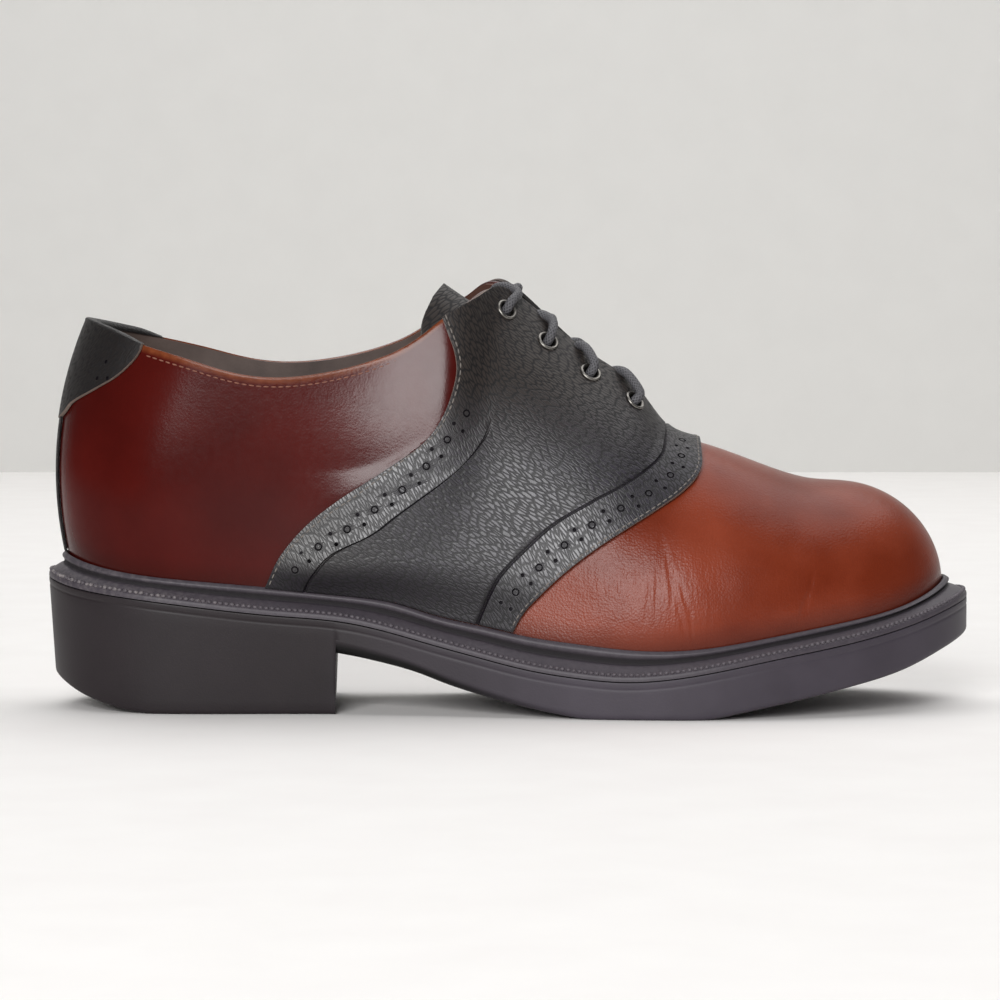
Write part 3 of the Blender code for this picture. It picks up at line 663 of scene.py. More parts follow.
def surface_lift(at):
    """Lift of the saddle's face at one place on each level."""
    order = saddle_at.argsort(0)
    places, lifts = np.take_along_axis(saddle_at, order, 0), np.take_along_axis(saddle_lift, order, 0)
    return np.array([np.interp(at[row], places[:, row], lifts[:, row]) for row in range(len(at))])


UV_PER_MM = 0.01
PRESSED_SHARE = (0.08, 0.16)


def saddle_half(name, side):
    """One side of the saddle; the inner side runs the other way round the last."""
    at = saddle_at if side < 0 else LOOP - saddle_at[::-1]
    lift = saddle_lift if side < 0 else saddle_lift[::-1]
    band = on_band if side < 0 else on_band[::-1]
    # pressed flat at the foot; the same mark also paints it darker, a painted shade
    pressed_and_shaded = np.broadcast_to(np.interp(saddle_share, PRESSED_SHARE, (1.0, 0.0)), band.shape)
    points = on_last(at, saddle_share[None, :], CLEAR + OVERLAY + lift)
    uv = np.stack([points[..., 0], section_climb(at, saddle_share[None, :])], -1) * UV_PER_MM
    return sheet(name, points, {"on_band": band, "pressed_and_shaded": pressed_and_shaded}, uv)


saddle = joined([saddle_half("pebbled_saddle", -1), saddle_half("pebbled_saddle_inner", 1)])
weld(saddle, 0.00002)
dress(saddle, "black_pebbled_leather", "raw_leather_edge")
finish_with(saddle, "SOLIDIFY", thickness=OVERLAY * 0.001, material_offset_rim=1, **INWARD)
finish_with(saddle, "BEVEL", width=0.0005, segments=2, material=1, **CUT_EDGE)
smooth(saddle)
print("saddle", len(saddle.data.polygons), "faces")

# %% [markdown]
# ## The heel tab
# A black tab covers the top of the back seam, and a narrow strip runs from it down to the welt. The
# tab's lower edge is a line in side view again, but here it is looked for up each section. At the top
# the tab is turned over the rim: more rows of the same grid go round it, so the fold has no seam.

# %% Lower edge of the heel tab
TAB_EDGE = ((-4.0, 86.0), (5.8, 93.4), (9.6, 97.4), (16.9, 101.4), (24.6, 105.8), (30.6, 111.4),
            (33.2, 116.5), (36.0, 128.0))
TAB_PLACES = 60
TAB_LEVELS = 40


def tab_floor(at):
    """Share of each section at which the tab's lower edge crosses it."""
    curve = soft_run(TAB_EDGE, 24)
    low, high = np.full(len(at), 0.2), np.full(len(at), 1.0)
    for _ in range(HALVINGS):
        middle = 0.5 * (low + high)
        point = last_points(at, middle)
        below = point[:, 2] < np.interp(point[:, 0], curve[:, 0], curve[:, 1])
        low, high = np.where(below, middle, low), np.where(below, high, middle)
    return low


seen = np.linspace(KNOTS[-4], HALF, 400)
corner = seen[np.argmax(tab_floor(seen) < 0.9995)]
tab_half = np.linspace(corner, HALF, TAB_PLACES)
tab_at = np.concatenate([tab_half, LOOP - tab_half[-2::-1]])
tab_low = tab_floor(tab_at)[:, None]
tab_share = tab_low + (1.0 - tab_low) * np.linspace(0.0, 1.0, TAB_LEVELS)[None, :]
tab_points = on_last(tab_at[:, None], tab_share, CLEAR + OVERLAY)
print("tab from", round(corner, 1), "to", round(LOOP - corner, 1), "mm round the last")

# %% Heel tab
# lift off the last and height over the rim, where the tab is turned over it
TAB_ROLL = ((1.5, 0.6), (1.1, 1.15), (0.4, 1.5), (-0.5, 1.6), (-1.4, 1.5), (-2.1, 1.1), (-2.5, 0.5),
            (-2.6, -0.3))
ROLL_RUN = 12.0
ROLL_LEAST = 0.25
at_rim = np.ones(len(tab_at))
rim_points, rim_out = last_points(tab_at, at_rim), last_normals(tab_at, at_rim)
from_corner = np.clip(np.minimum(tab_at - corner, LOOP - corner - tab_at) / ROLL_RUN, 0.0, 1.0)
roll_height = (ROLL_LEAST + (1.0 - ROLL_LEAST) * np.sin(0.5 * math.pi * from_corner))[:, None] * UP
roll = np.stack([rim_points + rim_out * lift + roll_height * rise for lift, rise in TAB_ROLL], 1)
tab_points = np.concatenate([tab_points, roll], 1)
tab_uv = np.stack([np.broadcast_to(tab_at[:, None], tab_points.shape[:2]), run_lengths(tab_points, 1)], -1)
tab = sheet("heel_tab_leather", tab_points, uv=tab_uv * UV_PER_MM)
print("tab turned over the rim by", TAB_ROLL[0][0] - TAB_ROLL[-1][0], "mm")

# %% Back strip
STRIP_HALF_WIDTH = 4.5
STRIP = OVERLAY - 0.35
STRIP_FOOT = 0.006
STRIP_LAP = 0.02
strip_at = np.linspace(HALF - STRIP_HALF_WIDTH, HALF + STRIP_HALF_WIDTH, 14)
strip_top = float(tab_floor(np.array([HALF]))[0]) + STRIP_LAP
strip_share = np.linspace(STRIP_FOOT, strip_top, 70)
strip_points = on_last(strip_at[:, None], strip_share[None, :], CLEAR + STRIP)
strip_across = np.broadcast_to(strip_at[:, None], strip_points.shape[:2])
strip_uv = np.stack([strip_across, run_lengths(strip_points, 1)], -1)
strip = sheet("back_strip", strip_points, uv=strip_uv * UV_PER_MM)
for piece, thickness, edge_finish in ((tab, OVERLAY, 1), (strip, STRIP, 0)):
    weld(piece)
    dress(piece, "black_pebbled_leather", "raw_leather_edge")
    finish_with(piece, "SOLIDIFY", thickness=thickness * 0.001, material_offset_rim=edge_finish, **INWARD)
    finish_with(piece, "BEVEL", width=0.00025, segments=2, material=edge_finish, **CUT_EDGE)
smooth(joined([tab, strip]))
print("heel tab and strip", len(tab.data.polygons), "faces")

# %% [markdown]
# ## The tongue
# The tongue is a padded strip of the same black leather under the slit. Its rows give the height of
# its middle, its half width and how far its sides drop; its top end is rounded off.

# %% Tongue
TONGUE_ROWS = ((207.0, 75.6, 10.0, 2.4), (199.0, 81.2, 11.0, 3.0), (190.0, 88.4, 12.0, 4.0),
               (176.0, 99.8, 12.5, 4.6), (160.0, 110.8, 13.0, 5.0), (144.5, 121.4, 14.0, 7.5),
               (132.0, 129.4, 16.5, 18.0), (125.6, 133.8, 17.5, 22.0))
TONGUE = 2.2
TONGUE_CORNER = 10.0
TONGUE_TIP = 0.45
tongue_run = soft_run(TONGUE_ROWS, 14)
tongue_way = np.gradient(tongue_run[:, [0, 1]], axis=0)
tongue_way /= np.linalg.norm(tongue_way, axis=1)[:, None]
tongue_down = np.column_stack([-tongue_way[:, 1], np.zeros(len(tongue_run)), tongue_way[:, 0]])
tongue_length = run_lengths(tongue_run[:, :2], 0)
to_end = np.clip((tongue_length[-1] - tongue_length) / TONGUE_CORNER, 0.0, 1.0)
round_end = TONGUE_TIP + (1.0 - TONGUE_TIP) * np.sqrt(1.0 - (1.0 - to_end) ** 2)
tongue_half = tongue_run[:, 2] * round_end
tongue_mid = np.interp(tongue_run[:, 0], (120.0, 210.0), (0.0, 1.2))
side_share = np.linspace(-1.0, 1.0, 41)[None, :]
reach = side_share * round_end[:, None]
tongue_points = np.stack([np.broadcast_to(tongue_run[:, :1], reach.shape),
                          tongue_mid[:, None] + side_share * tongue_half[:, None],
                          np.broadcast_to(tongue_run[:, 1:2], reach.shape)], -1)
tongue_points = tongue_points + tongue_down[:, None, :] * (tongue_run[:, 3:4] * reach ** 2)[..., None]
tongue_climb = np.broadcast_to(tongue_length[:, None], reach.shape)
tongue_uv = np.stack([tongue_points[..., 1], tongue_climb], -1) * UV_PER_MM
tongue = sheet("tongue_leather", tongue_points[:, ::-1], uv=tongue_uv[:, ::-1])
weld(tongue)
dress(tongue, "black_pebbled_leather")
finish_with(tongue, "SOLIDIFY", thickness=TONGUE * 0.001, **INWARD)
finish_with(tongue, "BEVEL", width=0.0007, segments=3, **CUT_EDGE)
smooth(tongue)
print("tongue", round(tongue_length[-1]), "mm long")

# %% [markdown]
# ## The footbed
# The footbed fills the sole inside the lining. It is a grid between the two sides of the foot line,
# a little dished, with its own thickness.

# %% Footbed
INSOLE = 4.0
BED_STEP = 2.4
BED_GAP = 0.45
BED_DISH = 1.2
BED_FULL_WIDTH = 30.0
BED_SKIN = 2.2
foot_half = half_places(BED_STEP, BED_STEP)
outer_foot, outer_out, outer_value = foot_line(foot_half)
inner_foot, inner_out, inner_value = foot_line(LOOP - foot_half)
inset = SKIN + LINING + BED_GAP
outer_edge = outer_foot - outer_out * inset
inner_edge = inner_foot - inner_out * inset
outer_edge[:, 2] = outer_value["ridge_z"] - WELT_EDGE + CLEAR + INSOLE
inner_edge[:, 2] = inner_value["ridge_z"] - WELT_EDGE + CLEAR + INSOLE
across = np.linspace(0.0, 1.0, 25)[None, :, None]
bed_points = outer_edge[:, None, :] * (1.0 - across) + inner_edge[:, None, :] * across
dish = BED_DISH * (1.0 - (2.0 * across[..., 0] - 1.0) ** 2)
bed_width = np.linalg.norm(outer_edge - inner_edge, axis=1)
bed_points[..., 2] -= dish * np.clip(bed_width / BED_FULL_WIDTH, 0, 1)[:, None]
footbed = sheet("footbed_leather", bed_points[:, ::-1])
weld(footbed)
dress(footbed, "worn_lining_kid")
face_outward(footbed)
if footbed.data.polygons[len(footbed.data.polygons) // 2].normal.z < 0.0:
    footbed.data.flip_normals()
finish_with(footbed, "SOLIDIFY", thickness=BED_SKIN * 0.001, offset=-1.0)
smooth(footbed)
print("footbed up to", round(bed_width.max(), 1), "mm wide")

# %% [markdown]
# ## The welt
# The welt is a rubber strip round the whole shoe. In section it has a lip against the leather, a
# channel that is painted dark, a painted shade, and a ridge that carries the stitches. The grid goes
# once round the section and once round the shoe, and merging closes it both ways.

# %% Welt
# across the ledge, share of the lip's height, share of the ridge's height, lift, painted shade in the
# channel
WELT_PROFILE = ((0.0, 0.0, 0.0, 0.0, 0), (0.0, 0.6, 0.0, 0.0, 0), (0.0, 1.0, 0.0, -0.5, 0),
                (0.03, 1.0, 0.0, -0.1, 0), (0.08, 1.0, 0.0, 0.05, 0), (0.14, 1.0, 0.0, -0.1, 0),
                (0.2, 0.97, 0.03, -0.3, 0), (0.25, 0.9, 0.1, -0.2, 0), (0.27, 0.82, 0.18, -0.1, 0),
                (0.26, 0.74, 0.26, 0.0, 0), (0.22, 0.68, 0.32, 0.0, 0.3), (0.18, 0.63, 0.37, 0.0, 0.8),
                (0.16, 0.55, 0.45, 0.0, 0.9), (0.17, 0.47, 0.53, 0.0, 0.9), (0.21, 0.4, 0.6, 0.0, 0.6),
                (0.26, 0.38, 0.62, 0.0, 0.2), (0.32, 0.38, 0.62, 0.0, 0), (0.4, 0.34, 0.66, 0.0, 0),
                (0.5, 0.28, 0.72, 0.0, 0), (0.62, 0.2, 0.8, 0.0, 0), (0.72, 0.13, 0.87, 0.0, 0),
                (0.8, 0.07, 0.93, 0.0, 0), (0.88, 0.0, 1.0, 0.0, 0), (0.94, 0.0, 1.0, -0.2, 0),
                (0.98, 0.0, 1.0, -0.55, 0), (1.0, 0.0, 0.8, -0.8, 0), (1.0, 0.0, 0.0, 0.0, 0),
                (0.5, 0.0, 0.0, 0.0, 0), (0.0, 0.0, 0.0, 0.0, 0))


def welt_ring(at):
    """Sections of the welt at places round the last."""
    foot, out, value = foot_line(at)
    base = value["ridge_z"] - WELT_EDGE + CLEAR
    lip, ridge = value["foot_z"] - base, value["ridge_z"] - base
    ring = []
    for share, lip_share, ridge_share, lift, _ in WELT_PROFILE:
        point = foot + out * (CLEAR + (value["ledge"] - CLEAR) * share)[:, None]
        point[:, 2] = base + lip * lip_share + ridge * ridge_share + lift
        ring.append(point)
    return np.stack(ring, 1)


welt_at = np.linspace(0.0, LOOP, 520)
welt_points = welt_ring(welt_at)
channel_shade = np.broadcast_to([row[-1] for row in WELT_PROFILE], welt_points.shape[:2])
welt = weld(sheet("welt_strip", welt_points[:, ::-1], {"channel_shade": channel_shade[:, ::-1]}))
dress(welt, "moulded_rubber_welt")
smooth(welt, 50.0)
print("welt", len(welt.data.polygons), "faces")

# %% [markdown]
# ## The sole
# Sole and heel are moulded in one piece of rubber. The side is a grid of rings from the top edge to
# the tread edge with a thin groove under the welt; the tread is a grid across the shoe with moulded
# ribs, joined to the side's lowest ring. Under the arch the bevel of the tread edge is larger, and
# the heel's breast is hollowed and slants back to the inner side.

# %% Sole tables
HEEL_BREAST = 93.6
BREAST_RUN = 0.4
HEEL_BOTTOM = ((-0.6, 10.4), (8.0, 6.2), (16.0, 3.4), (24.0, 1.4), (32.0, 0.3), (38.0, 0.0), (93.6, 0.0))
SOLE_BOTTOM = ((93.6, 19.3), (103.0, 17.5), (117.0, 14.0), (131.0, 9.0), (149.0, 4.1), (165.0, 1.0),
               (176.0, 0.0), (206.0, 0.0), (223.0, 2.8), (248.7, 8.0), (270.0, 13.1), (287.0, 19.6),
               (297.0, 23.5))
SIDE_DRAFT = 2.0
BREAST_SLANT = 3.4
BREAST_REACH = 12.0
ARCH_BEVEL = 2.8
ARCH_END = 168.0
# millimetres below the top edge, step in from the outline
SIDE_TOP = ((0.0, 0.12), (0.1, 0.06), (0.3, 0.02), (0.6, 0.0), (1.5, 0.0), (1.75, 0.03), (1.95, 0.1),
            (2.2, 0.12), (2.45, 0.1), (2.65, 0.03), (2.9, 0.0))
# millimetres above the tread edge, step in
SIDE_FOOT = ((1.4, 0.0), (0.8, 0.12), (0.35, 0.4), (0.1, 0.75), (0.0, 1.1))
SIDE_MIDDLE = np.linspace(0.1, 0.9, 7)


def place_at_x(x):
    """Place on the outer side whose foot point has this x."""
    dense = np.linspace(0.0, HALF, 6000)
    return float(np.interp(-x, -section_values(dense)["foot_x"], dense))


SOLE_STEP = 1.5
BREAST_CLEAR = 0.5
sole_half = half_places(SOLE_STEP, SOLE_STEP)
breast = [place_at_x(HEEL_BREAST + 0.5 * BREAST_RUN), place_at_x(HEEL_BREAST - 0.5 * BREAST_RUN)]
clear_of_breast = [at for at in sole_half if min(abs(at - edge) for edge in breast) > BREAST_CLEAR]
sole_half = np.array(sorted(clear_of_breast + breast))
print("places on each side of the sole:", len(sole_half))


# %% Sole side
def bottom_height(x, is_heel):
    """Height of the tread at each x, heel and sole apart."""
    heel_run, sole_run = soft_run(HEEL_BOTTOM, 12), soft_run(SOLE_BOTTOM, 12)
    heel = np.maximum(np.interp(x, heel_run[:, 0], heel_run[:, 1]), 0.0)
    sole = np.maximum(np.interp(x, sole_run[:, 0], sole_run[:, 1]), 0.0)
    return np.where(is_heel, heel, sole)


def arch_bevel(x, is_heel):
    """How much larger the bevel of the tread edge is under the arch."""
    return np.where(is_heel, 1.0, np.interp(x, (HEEL_BREAST, ARCH_END), (ARCH_BEVEL, 1.0)))


def sole_rings(at):
    """Side rings of the sole at places round the last, top to tread."""
    foot, out, value = foot_line(at)
    is_heel = foot[:, 0] < HEEL_BREAST
    top = value["ridge_z"] - WELT_EDGE
    edge = foot + out * value["ledge"][:, None]
    slant = BREAST_SLANT * np.clip(1.0 - np.abs(edge[:, 0] - HEEL_BREAST) / BREAST_REACH, 0.0, 1.0)
    edge[:, 0] -= np.where(at > HALF, slant, 0.0)
    low = bottom_height(edge[:, 0], is_heel)
    bevel = arch_bevel(edge[:, 0], is_heel)
    first, last = SIDE_TOP[-1][0], SIDE_FOOT[0][0] * bevel
    levels = [(top - depth, step) for depth, step in SIDE_TOP]
    for share in SIDE_MIDDLE:
        levels.append(((top - first) * (1.0 - share) + (low + last) * share, 0.0))
    levels += [(low + height * bevel, step * bevel) for height, step in SIDE_FOOT]
    rings = []
    for height, step in levels:
        taper = SIDE_DRAFT * is_heel * (top - height) / (top - low)
        ring = edge - out * (step + taper)[:, None]
        ring[:, 2] = height
        rings.append(ring)
    return np.stack(rings, 1)


sole_at = np.concatenate([sole_half, LOOP - sole_half[-2::-1]])
sole_side = sole_rings(sole_at)
side_bevel = arch_bevel(sole_side[:, 0, 0], sole_side[:, -1, 0] < HEEL_BREAST)
# painted shade: the arch bevel is marked to be painted near black
under_arch = np.clip(side_bevel - 1.0, 0.0, 1.0)[:, None]
is_bevel = np.arange(sole_side.shape[1]) > len(SIDE_TOP) + len(SIDE_MIDDLE)
sole = sheet("moulded_sole", sole_side[:, ::-1], {"arch_shade": (under_arch * is_bevel)[:, ::-1]})
print("rings down the side of the sole:", sole_side.shape[1])

# %% Tread and lid
RIB_PITCH = 6.5
RIB_DEPTH = 1.0
RIB_WIDTH = 0.2
RIB_FADE = 2.0
RIB_ZONES = ((164.0, 264.0), (18.0, 84.0))
TREAD_MARGIN = 8.0
BREAST_HOLLOW = 3.5
tread_across = np.linspace(0.0, 1.0, 41)[None, :, None]
outer_low, inner_low = sole_rings(sole_half)[:, -1], sole_rings(LOOP - sole_half)[:, -1]
tread_points = outer_low[:, None, :] * (1.0 - tread_across) + inner_low[:, None, :] * tread_across
edge_run = np.minimum(tread_across[..., 0], 1.0 - tread_across[..., 0])
edge_run = edge_run * np.linalg.norm(outer_low - inner_low, axis=1)[:, None]
inside = np.clip((edge_run - TREAD_MARGIN) / RIB_FADE, 0.0, 1.0)
tread_x = tread_points[..., 0]
in_zone = np.zeros_like(tread_x)
for start, end in RIB_ZONES:
    in_zone += np.clip((tread_x - start) / RIB_FADE, 0, 1) * np.clip((end - tread_x) / RIB_FADE, 0, 1)
ribs = np.clip(RIB_WIDTH - np.cos(math.tau * tread_x / RIB_PITCH), 0.0, 1.0)
tread_points[..., 2] += RIB_DEPTH * inside * in_zone * ribs
near_breast = np.clip(1.0 - np.abs(tread_x - HEEL_BREAST) / BREAST_REACH, 0.0, 1.0)
bow = 1.0 - (2.0 * tread_across[..., 0] - 1.0) ** 2
tread_points[..., 0] -= BREAST_HOLLOW * near_breast * bow
tread = sheet("tread", tread_points)
outer_top, inner_top = sole_rings(sole_half)[:, 0], sole_rings(LOOP - sole_half)[:, 0]
top_across = np.linspace(0.0, 1.0, 9)[None, :, None]
lid_points = outer_top[:, None, :] * (1.0 - top_across) + inner_top[:, None, :] * top_across
sole_lid = sheet("sole_lid", lid_points[:, ::-1])
weld(joined([sole, tread, sole_lid]))
dress(sole, "moulded_black_rubber")
face_outward(sole)
smooth(sole, 50.0)
print("sole", len(sole.data.polygons), "faces")

# %% [markdown]
# ## Eyelets
# An eyelet is a short tube whose top is rolled outwards over the leather. One is modelled as by hand:
# an open cylinder, its top ring extruded outwards in steps, then given the thickness of sheet metal.
# Eight copies are set on the facings, square to the leather.

# %% Where the eyelets sit
EYELET_X = (146.2, 159.6, 173.2, 187.0)
EYELET_FROM_EDGE = 9.2


def edge_share(at):
    """Share of a section that lies the eyelet's distance below the slit edge."""
    shares = np.linspace(1.0, 0.5, 200)
    points = last_points(np.full(len(shares), at), shares)
    return float(np.interp(EYELET_FROM_EDGE, run_lengths(points, 0), shares))


def eyelet_place(x, side):
    """Place round the last and share of the section of an eyelet."""
    low, high = SLIT_END, KNOTS[SECTION_NAMES.index("facing top")]
    for _ in range(HALVINGS):
        middle = 0.5 * (low + high)
        ahead = last_points([middle], [edge_share(middle)])[0, 0] > x
        low, high = (middle, high) if ahead else (low, middle)
    return (low if side < 0 else LOOP - low), edge_share(low)


eyelets = {}
for side, label in ((-1, "lat"), (1, "med")):
    for number, x in enumerate(EYELET_X, 1):
        eyelets[f"{label}_{number}"] = eyelet_place(x, side)
print({name: round(place[0], 1) for name, place in eyelets.items()})

# %% One eyelet
EYELET_SEAT = CLEAR + OVERLAY
EYELET_TUBE = 2.25
EYELET_DEPTH = 3.0
EYELET_METAL = 0.28
# radius of each ring of the roll, and its rise over the ring before
EYELET_ROLL = ((2.4, 0.34), (2.8, 0.3), (3.25, 0.04), (3.55, -0.2), (3.7, -0.4))
bpy.ops.object.select_all(action="DESELECT")
bpy.ops.mesh.primitive_cylinder_add(vertices=36, radius=EYELET_TUBE, depth=EYELET_DEPTH,
                                    end_fill_type="NOTHING",
                                    location=(0.0, 0.0, EYELET_SEAT - 0.5 * EYELET_DEPTH))
eyelet = bpy.context.active_object
bpy.ops.object.transform_apply(location=True)
bpy.ops.object.mode_set(mode="EDIT")
bpy.ops.mesh.select_mode(type="VERT")
bpy.ops.object.mode_set(mode="OBJECT")
for vertex in eyelet.data.vertices:
    vertex.select = vertex.co.z > EYELET_SEAT - 0.1
for edge in eyelet.data.edges:
    edge.select = all(eyelet.data.vertices[end].select for end in edge.vertices)
for face in eyelet.data.polygons:
    face.select = False
bpy.ops.object.mode_set(mode="EDIT")
radius = EYELET_TUBE
for next_radius, rise in EYELET_ROLL:
    bpy.ops.mesh.extrude_edges_move(TRANSFORM_OT_translate={"value": (0.0, 0.0, rise)})
    grow = next_radius / radius
    bpy.ops.transform.resize(value=(grow, grow, 1.0), center_override=(0.0, 0.0, 0.0))
    radius = next_radius
bpy.ops.object.mode_set(mode="OBJECT")
finish_with(eyelet, "SOLIDIFY", thickness=EYELET_METAL, offset=1.0)
finish_with(eyelet, "SUBSURF", levels=1, render_levels=1)
smooth(eyelet, 60.0)
print("one eyelet", len(eyelet.data.polygons), "faces")


# %% Eight eyelets
def stand(at, share):
    """Frame that stands on the last: X towards the rim, Z outwards, in metres."""
    at, share = np.array([at]), np.array([share])
    point, normal = last_points(at, share)[0], last_normals(at, share)[0]
    upward = last_points(at, share + SHARE_NUDGE)[0] - last_points(at, share - SHARE_NUDGE)[0]
    upward -= normal * np.dot(upward, normal)
    upward /= np.linalg.norm(upward)
    turn = Matrix((upward, np.cross(normal, upward), normal)).transposed().to_4x4()
    return Matrix.Translation(metres(point)) @ turn @ Matrix.Scale(0.001, 4)


def stand_copy(name, shape, at, share):
    """A copy of a small shape that stands on the last."""
    copy = bpy.data.objects.new(name, shape.data.copy())
    bpy.context.scene.collection.objects.link(copy)
    copy.data.transform(stand(at, share))
    return copy


eyelet_pieces = []
for name, (at, share) in eyelets.items():
    ring = stand_copy(f"eyelet_ring_{name}", eyelet, at, share)
    ring.data.name = ring.name
    dress(ring, "blackened_brass")
    eyelet_pieces.append(ring)
bpy.data.objects.remove(eyelet)
print("eyelets:", len(eyelet_pieces))

# %% [markdown]
# ## Small things in rows
# Stitches and punched holes are the same little shape over and over. An Array modifier on a curve
# could repeat it, but a stitch has to stand square to the leather. So one is modelled, and its
# corners are copied along a line on the last by arrays of numbers: a whole row is a single light mesh.
# The holes are rows of punches, and a Boolean takes their shape out of the leather.

# %% Rows of stamps
def row_frames(points, normals, pitch, start=0.5):
    """Even places along a line: positions, and directions along, across and outwards."""
    length = run_lengths(points, 0)
    marks = np.arange(start * pitch, length[-1], pitch)
    spot = np.column_stack([np.interp(marks, length, points[:, axis]) for axis in range(3)])
    out = np.column_stack([np.interp(marks, length, normals[:, axis]) for axis in range(3)])
    way = np.gradient(points, length, axis=0)
    along = np.column_stack([np.interp(marks, length, way[:, axis]) for axis in range(3)])
    out -= along * np.sum(out * along, 1)[:, None] / np.sum(along * along, 1)[:, None]
    out /= np.linalg.norm(out, axis=1)[:, None]
    along /= np.linalg.norm(along, axis=1)[:, None]
    return spot, along, np.cross(out, along), out


def stamped(name, stamp, frames):
    """One mesh with the stamp's shape at every place."""
    spot, along, across, out = frames
    shape = np.array([vertex.co[:] for vertex in stamp.data.vertices])
    faces = [list(face.vertices) for face in stamp.data.polygons]
    corners = (spot[:, None, :] + shape[None, :, :1] * along[:, None, :]
               + shape[None, :, 1:2] * across[:, None, :] + shape[None, :, 2:] * out[:, None, :])
    count = len(shape)
    all_faces = []
    for place in range(len(spot)):
        all_faces += [[corner + count * place for corner in face] for face in faces]
    mesh = bpy.data.meshes.new(name)
    mesh.from_pydata(metres(corners.reshape(-1, 3)).tolist(), [], all_faces)
    piece = bpy.data.objects.new(name, mesh)
    bpy.context.scene.collection.objects.link(piece)
    return piece


def bead(length, width, height):
    """A rounded bead, in millimetres, that a stitch is copied from."""
    bpy.ops.object.select_all(action="DESELECT")
    bpy.ops.mesh.primitive_uv_sphere_add(segments=8, ring_count=6, radius=0.5)
    shape = bpy.context.active_object
    bpy.ops.object.mode_set(mode="EDIT")
    bpy.ops.mesh.select_all(action="SELECT")
    bpy.ops.transform.rotate(value=math.radians(90.0), orient_axis="Y", center_override=(0.0, 0.0, 0.0))
    bpy.ops.transform.resize(value=(length, width, height), center_override=(0.0, 0.0, 0.0))
    bpy.ops.object.mode_set(mode="OBJECT")
    return shape


def last_run(at, share, lift):
    """Points and outward directions along a line on the last."""
    at, share = np.broadcast_arrays(np.asarray(at, float), np.asarray(share, float))
    return on_last(at, share, lift), last_normals(at, share)


# %% Punched holes in the bands
HOLE_PITCH = 10.6
LARGE_HOLE = 2.5
SMALL_HOLE = 1.25
PAIR_HALF_GAP = 1.85
HOLE_DEPTH = 0.6
RING_WALL = 0.5
# lowest and highest place of a hole, and the height of one large hole
REAR_HOLES = (44.0, 98.0, 86.3)
FRONT_HOLES = (30.0, 86.0, 46.6)


def hole_frames(edge, line, side, low_z, high_z, anchor_z):
    """Frames of the large holes and of the pairs along the middle of a band."""
    middle = 0.5 * (edge + line)
    lift = CLEAR + OVERLAY + surface_lift(middle)
    at = middle if side < 0 else LOOP - middle
    points, normals = last_run(at, saddle_share, lift)
    keep = (points[:, 2] > low_z) & (points[:, 2] < high_z)
    points, normals = points[keep], normals[keep]
    length = run_lengths(points, 0)
    anchor = np.interp(anchor_z, points[:, 2], length)
    large = row_frames(points, normals, HOLE_PITCH, (anchor % HOLE_PITCH) / HOLE_PITCH)
    half_way = ((anchor + 0.5 * HOLE_PITCH) % HOLE_PITCH) / HOLE_PITCH
    spot, along, sideways, out = row_frames(points, normals, HOLE_PITCH, half_way)
    pairs = [(spot + sideways * gap, along, sideways, out) for gap in (-PAIR_HALF_GAP, PAIR_HALF_GAP)]
    return large, tuple(np.concatenate(parts) for parts in zip(*pairs))


def punch(name, diameter, sides, wall):
    """A round punch that goes part of the way in; with a wall it is a tube and leaves its core standing."""
    bpy.ops.object.select_all(action="DESELECT")
    bpy.ops.mesh.primitive_cylinder_add(vertices=sides, radius=0.5 * diameter, depth=2.0,
                                        location=(0.0, 0.0, 1.0 - HOLE_DEPTH),
                                        end_fill_type="NOTHING" if wall else "NGON")
    shape = bpy.context.active_object
    bpy.ops.object.transform_apply(location=True)
    shape.name = name
    if wall:
        finish_with(shape, "SOLIDIFY", thickness=wall, offset=-1.0)
    return shape


large_punch = punch("large_punch", LARGE_HOLE, 20, RING_WALL)
small_punch = punch("small_punch", SMALL_HOLE, 10, 0.0)
punches = []
for side in (-1, 1):
    for edge, line, heights in ((rear_edge, rear_line, REAR_HOLES), (front_edge, front_line, FRONT_HOLES)):
        large, pairs = hole_frames(edge, line, side, *heights)
        punches += [stamped("large_holes", large_punch, large), stamped("small_holes", small_punch, pairs)]
for shape in (large_punch, small_punch):
    bpy.data.objects.remove(shape)
hole_cutter = joined(punches)
dress(hole_cutter, "painted_hole_shade")
print("hole cutter faces", len(hole_cutter.data.polygons))

# %% Pins for the eyelet holes
EYELET_HOLE = 5.2
PIN_LENGTH = 14.0
bpy.ops.object.select_all(action="DESELECT")
bpy.ops.mesh.primitive_cylinder_add(vertices=24, radius=0.5 * EYELET_HOLE, depth=PIN_LENGTH)
pin = bpy.context.active_object
eyelet_cutter = joined([stand_copy("eyelet_pin", pin, at, share) for at, share in eyelets.values()])
dress(eyelet_cutter, "painted_hole_shade")
bpy.data.objects.remove(pin)
print("eyelet cutter faces", len(eyelet_cutter.data.polygons))

# %% Small holes in the heel tab
TAB_HOLES = ((21.5, 110.1), (18.6, 105.0), (22.1, 105.0))
tab_look_at, tab_look_share = np.meshgrid(np.linspace(KNOTS[-4], HALF, 160), np.linspace(0.6, 1.0, 120))
looked_at = on_last(tab_look_at, tab_look_share)
tab_pins = []
bpy.ops.object.select_all(action="DESELECT")
bpy.ops.mesh.primitive_cylinder_add(vertices=12, radius=0.5 * SMALL_HOLE, depth=2.0,
                                    location=(0.0, 0.0, CLEAR + OVERLAY + 0.2))
pin = bpy.context.active_object
bpy.ops.object.transform_apply(location=True)
for x, z in TAB_HOLES:
    nearest = np.argmin(np.hypot(looked_at[..., 0] - x, looked_at[..., 2] - z))
    at, share = tab_look_at.flat[nearest], tab_look_share.flat[nearest]
    tab_pins += [stand_copy("tab_pin", pin, place, share) for place in (at, LOOP - at)]
tab_cutter = joined(tab_pins)
dress(tab_cutter, "painted_hole_shade")
bpy.data.objects.remove(pin)
print("tab cutter faces", len(tab_cutter.data.polygons))

